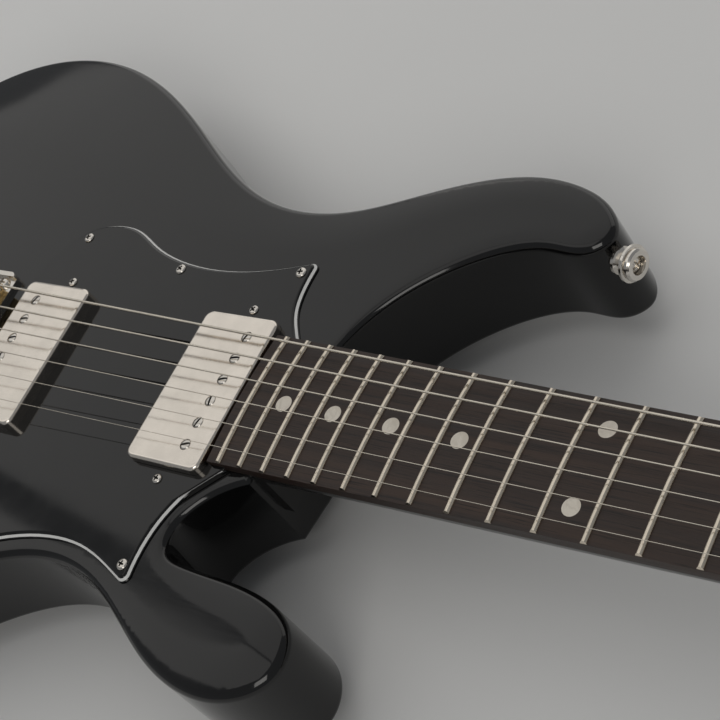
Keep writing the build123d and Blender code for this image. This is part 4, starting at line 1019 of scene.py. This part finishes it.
def post_mesh():
    """A string post, waisted where the string winds, with its gear below."""
    verts, faces = lathe([(POST * share, height * MM) for share, height in POST_PROFILE], 32)
    gear = []
    for k in range(2 * GEAR_TEETH):
        r = GEAR_TIP if k % 2 else GEAR_ROOT
        for d in (-0.3, 0.3):
            a = pi * (k + d) / GEAR_TEETH
            gear.append((r * cos(a), r * sin(a)))
    gear_verts, gear_faces = prism(gear, GEAR_LOW, GEAR_HIGH)
    faces += [tuple(len(verts) + i for i in f) for f in gear_faces]
    return verts + gear_verts, faces


def winding_mesh(turns, gauge, side):
    """A string's helix down its post; it starts on the side that faces the centre line and ends
    inside the post."""
    steps = TURN_STEPS * turns
    half = turns * gauge / 2
    coil = []
    for k in range(steps + 1):
        share = k / steps
        a = side * pi * (2 * turns * share - 0.5)
        r = POST * (WAIST + (1 - WAIST) * abs(2 * share - 1)) + gauge / 2
        coil.append((r * cos(a), r * sin(a), WINDING_MIDDLE + half - 2 * half * share * 0.97))
    inner = 0.55 * POST
    coil.append((inner * cos(a), inner * sin(a), coil[-1][2] - gauge * 0.2))
    verts, faces = [], []
    tube(coil, [gauge / 2] * len(coil), 8, verts, faces)
    return verts, faces


for number in range(6):
    body = f"post_{number + 1}"
    joint = joints[body + "_turn"]
    origin, axis = joint["pos_m"], joint["axis"]
    verts, faces = post_mesh()
    post = make_piece(body, placed(verts, origin, axis), faces, "nickel", body, 35)
    side = 1 if origin[1] > 0 else -1
    verts, faces = winding_mesh(TURNS[number], string_gauges[number], side)
    verts = placed(verts, origin, axis)
    winding = make_piece(f"winding_{number + 1}", verts, faces, "string_steel", body, 60)
    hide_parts(f"tuner_post_{number + 1}")
    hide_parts(f"tuner_post_{number + 1}")

# ---------------------------------------------------------------- screw heads
# Dark metal for the driver slots: painted shade, with some grime, where the slots' hollows fall dark.
SLOT_SHADE_AND_GRIME = plated("recess", (0.1, 0.095, 0.09), 0.45, 0.65)


# Screw head: (share of its radius, share of its rise).
DOME = ((0.96, 0.0), (1, 0.22), (0.97, 0.45), (0.86, 0.7), (0.66, 0.87), (0.4, 0.96), (0.04, 1))
TIP, NECK = 1.2 * MM, 0.9 * MM


def slot_tool(centre, peak, turn, length, width, depth):
    """A driver slot that widens upwards from its floor."""
    narrow = rounded_box(centre, (0.36 * length, 0.04 * width), 0.01 * width, turn, 1)
    wide = rounded_box(centre, (0.64 * length, 0.96 * width), 0.1 * width, turn, 1)
    verts, faces = prism(narrow, peak - depth, peak + depth)
    verts[len(narrow) :] = [(x, y, peak + depth) for x, y in wide]
    return verts, faces


def head_screw(name, node, group, seat, rise, head, shank, slots, turn):
    """A round-headed screw with its driver slots cut in; slots are (length, width, depth)."""
    low, high = group.min(0), group.max(0)
    x, y = (low[0] + high[0]) / 2, (low[1] + high[1]) / 2
    dome = [(r * head, seat + z * rise) for r, z in DOME]
    profile = [(0.25 * shank, low[2]), (shank, low[2] + TIP), (shank, seat - NECK)] + dome
    verts, faces = lathe(profile, 40)
    verts = [(x + a, y + b, c) for a, b, c in verts]
    piece = make_piece(name, verts, faces, "screw_nickel", "instrument", 35)
    cut(
        piece,
        [
            slot_tool((x, y), seat + rise, turn + k * pi / 2, *slot)
            for k, slot in enumerate(slots)
        ],
    )
    # Faces sunk below the dome, in the driver slots, take the dark slot material: shade painted into the slots,
    # with some grime.
    piece.data.materials.append(SLOT_SHADE_AND_GRIME)
    for face in piece.data.polygons:
        cx, cy, cz = face.center
        surface = np.interp(((cx - x) ** 2 + (cy - y) ** 2) ** 0.5, *zip(*dome[::-1]))
        if surface - cz > 0.05 * MM and cz > seat - 0.5 * MM and face.normal.z > -0.5:
            face.material_index = 1
    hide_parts(node)


def sized(node, least):
    """A node's solids wider than a limit, by place along the instrument, then from the bass side."""
    groups = [g for g in islands(node) if np.ptp(g[:, 0]) > least]
    return sorted(groups, key=lambda g: (round(g[:, 0].mean(), 3), -g[:, 1].mean()))


SCREW_RISE, SCREW_SHANK = 1.15 * MM, 1.3 * MM
CROSS = ((2.7 * MM, 0.85 * MM, 1.0 * MM),) * 2
for node, head in (("pickguard_screws", 2.35 * MM), ("pickup_height_screws", 2.1 * MM)):
    for number, group in enumerate(sized(node, 2 * MM)):
        name, turn = f"{node}_{number + 1}", 0.35 + 1.9 * number
        head_screw(name, node, group, guard_top, SCREW_RISE, head, SCREW_SHANK, CROSS, turn)

POLE_TURNS = (1.2, 0.25, 0.35, 1.75, 1.3, 0.4)
POLE_HEAD, POLE_SHANK, POLE_SINK = 2.3 * MM, 1.6 * MM, 0.45 * MM
POLE_SLOT = ((5 * MM, 1.0 * MM, 0.9 * MM),)
SLUG_EDGE = 0.25 * MM


def slug_piece(name, group):
    """A plain pole with a chamfer at both ends."""
    low, high = group.min(0), group.max(0)
    x, y = (low[0] + high[0]) / 2, (low[1] + high[1]) / 2
    radius = (high[1] - low[1]) / 2
    ends = [(radius - SLUG_EDGE, low[2]), (radius, low[2] + SLUG_EDGE)]
    ends += [(radius, high[2] - SLUG_EDGE), (radius - SLUG_EDGE, high[2])]
    verts, faces = lathe(ends, 32)
    verts = [(x + a, y + b, c) for a, b, c in verts]
    return make_piece(name, verts, faces, "screw_nickel", "instrument", 35)


for pickup in ("neck_pickup", "bridge_pickup"):
    cover_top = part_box(pickup + "_cover")[1].z
    seat = cover_top - POLE_SINK
    poles = sized(pickup + "_poles", 2 * MM)
    screws = [g for g in poles if g[:, 2].max() > cover_top + 0.1 * MM]
    slugs = [g for g in poles if g[:, 2].max() <= cover_top + 0.1 * MM]
    for number, group in enumerate(screws):
        name, node = f"{pickup}_pole_{number + 1}", pickup + "_poles"
        rise, turn = group[:, 2].max() - seat, POLE_TURNS[number]
        head_screw(name, node, group, seat, rise, POLE_HEAD, POLE_SHANK, POLE_SLOT, turn)
    for number, group in enumerate(slugs):
        slug = slug_piece(f"{pickup}_slug_{number + 1}", group)
        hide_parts(pickup + "_poles")

# ---------------------------------------------------------------- softened edges
# Bevel width in mm of each CAD node that is kept.
SOFT_EDGES = {
    "nut": 0.3,
    "bridge_plate": 0.25,
    "truss_cover": 0.2,
    "jack_plate": 0.2,
    "tuner_housings": 0.4,
    **{f"tuner_key_{k}": 0.35 for k in range(1, 7)},
    "volume_knob": 0.3,
    "tone_knob": 0.3,
    "bass_saddle": 0.15,
    "treble_saddle": 0.15,
}
for name, width in SOFT_EDGES.items():
    piece = nodes[name]
    weld = piece.modifiers.new("weld", "WELD")
    weld.merge_threshold = 1e-6
    bevel = piece.modifiers.new("soft edges", "BEVEL")
    bevel.width = width * MM
    bevel.segments = 2
    bevel.limit_method = "ANGLE"
    bevel.angle_limit = radians(40)
    bevel.use_clamp_overlap = True
    bevel.harden_normals = True

# ---------------------------------------------------------------- floor
FLOOR_SIZE, FLOOR_CENTRE, FLOOR_GAP = 12, (0.3, 0), 0.5 * MM
floor_level = cad_box[0][2] - FLOOR_GAP
bpy.ops.mesh.primitive_plane_add(size=FLOOR_SIZE, location=(*FLOOR_CENTRE, floor_level))
floor = bpy.context.object
floor.name = "floor"
floor.data.materials.append(floor_paint())
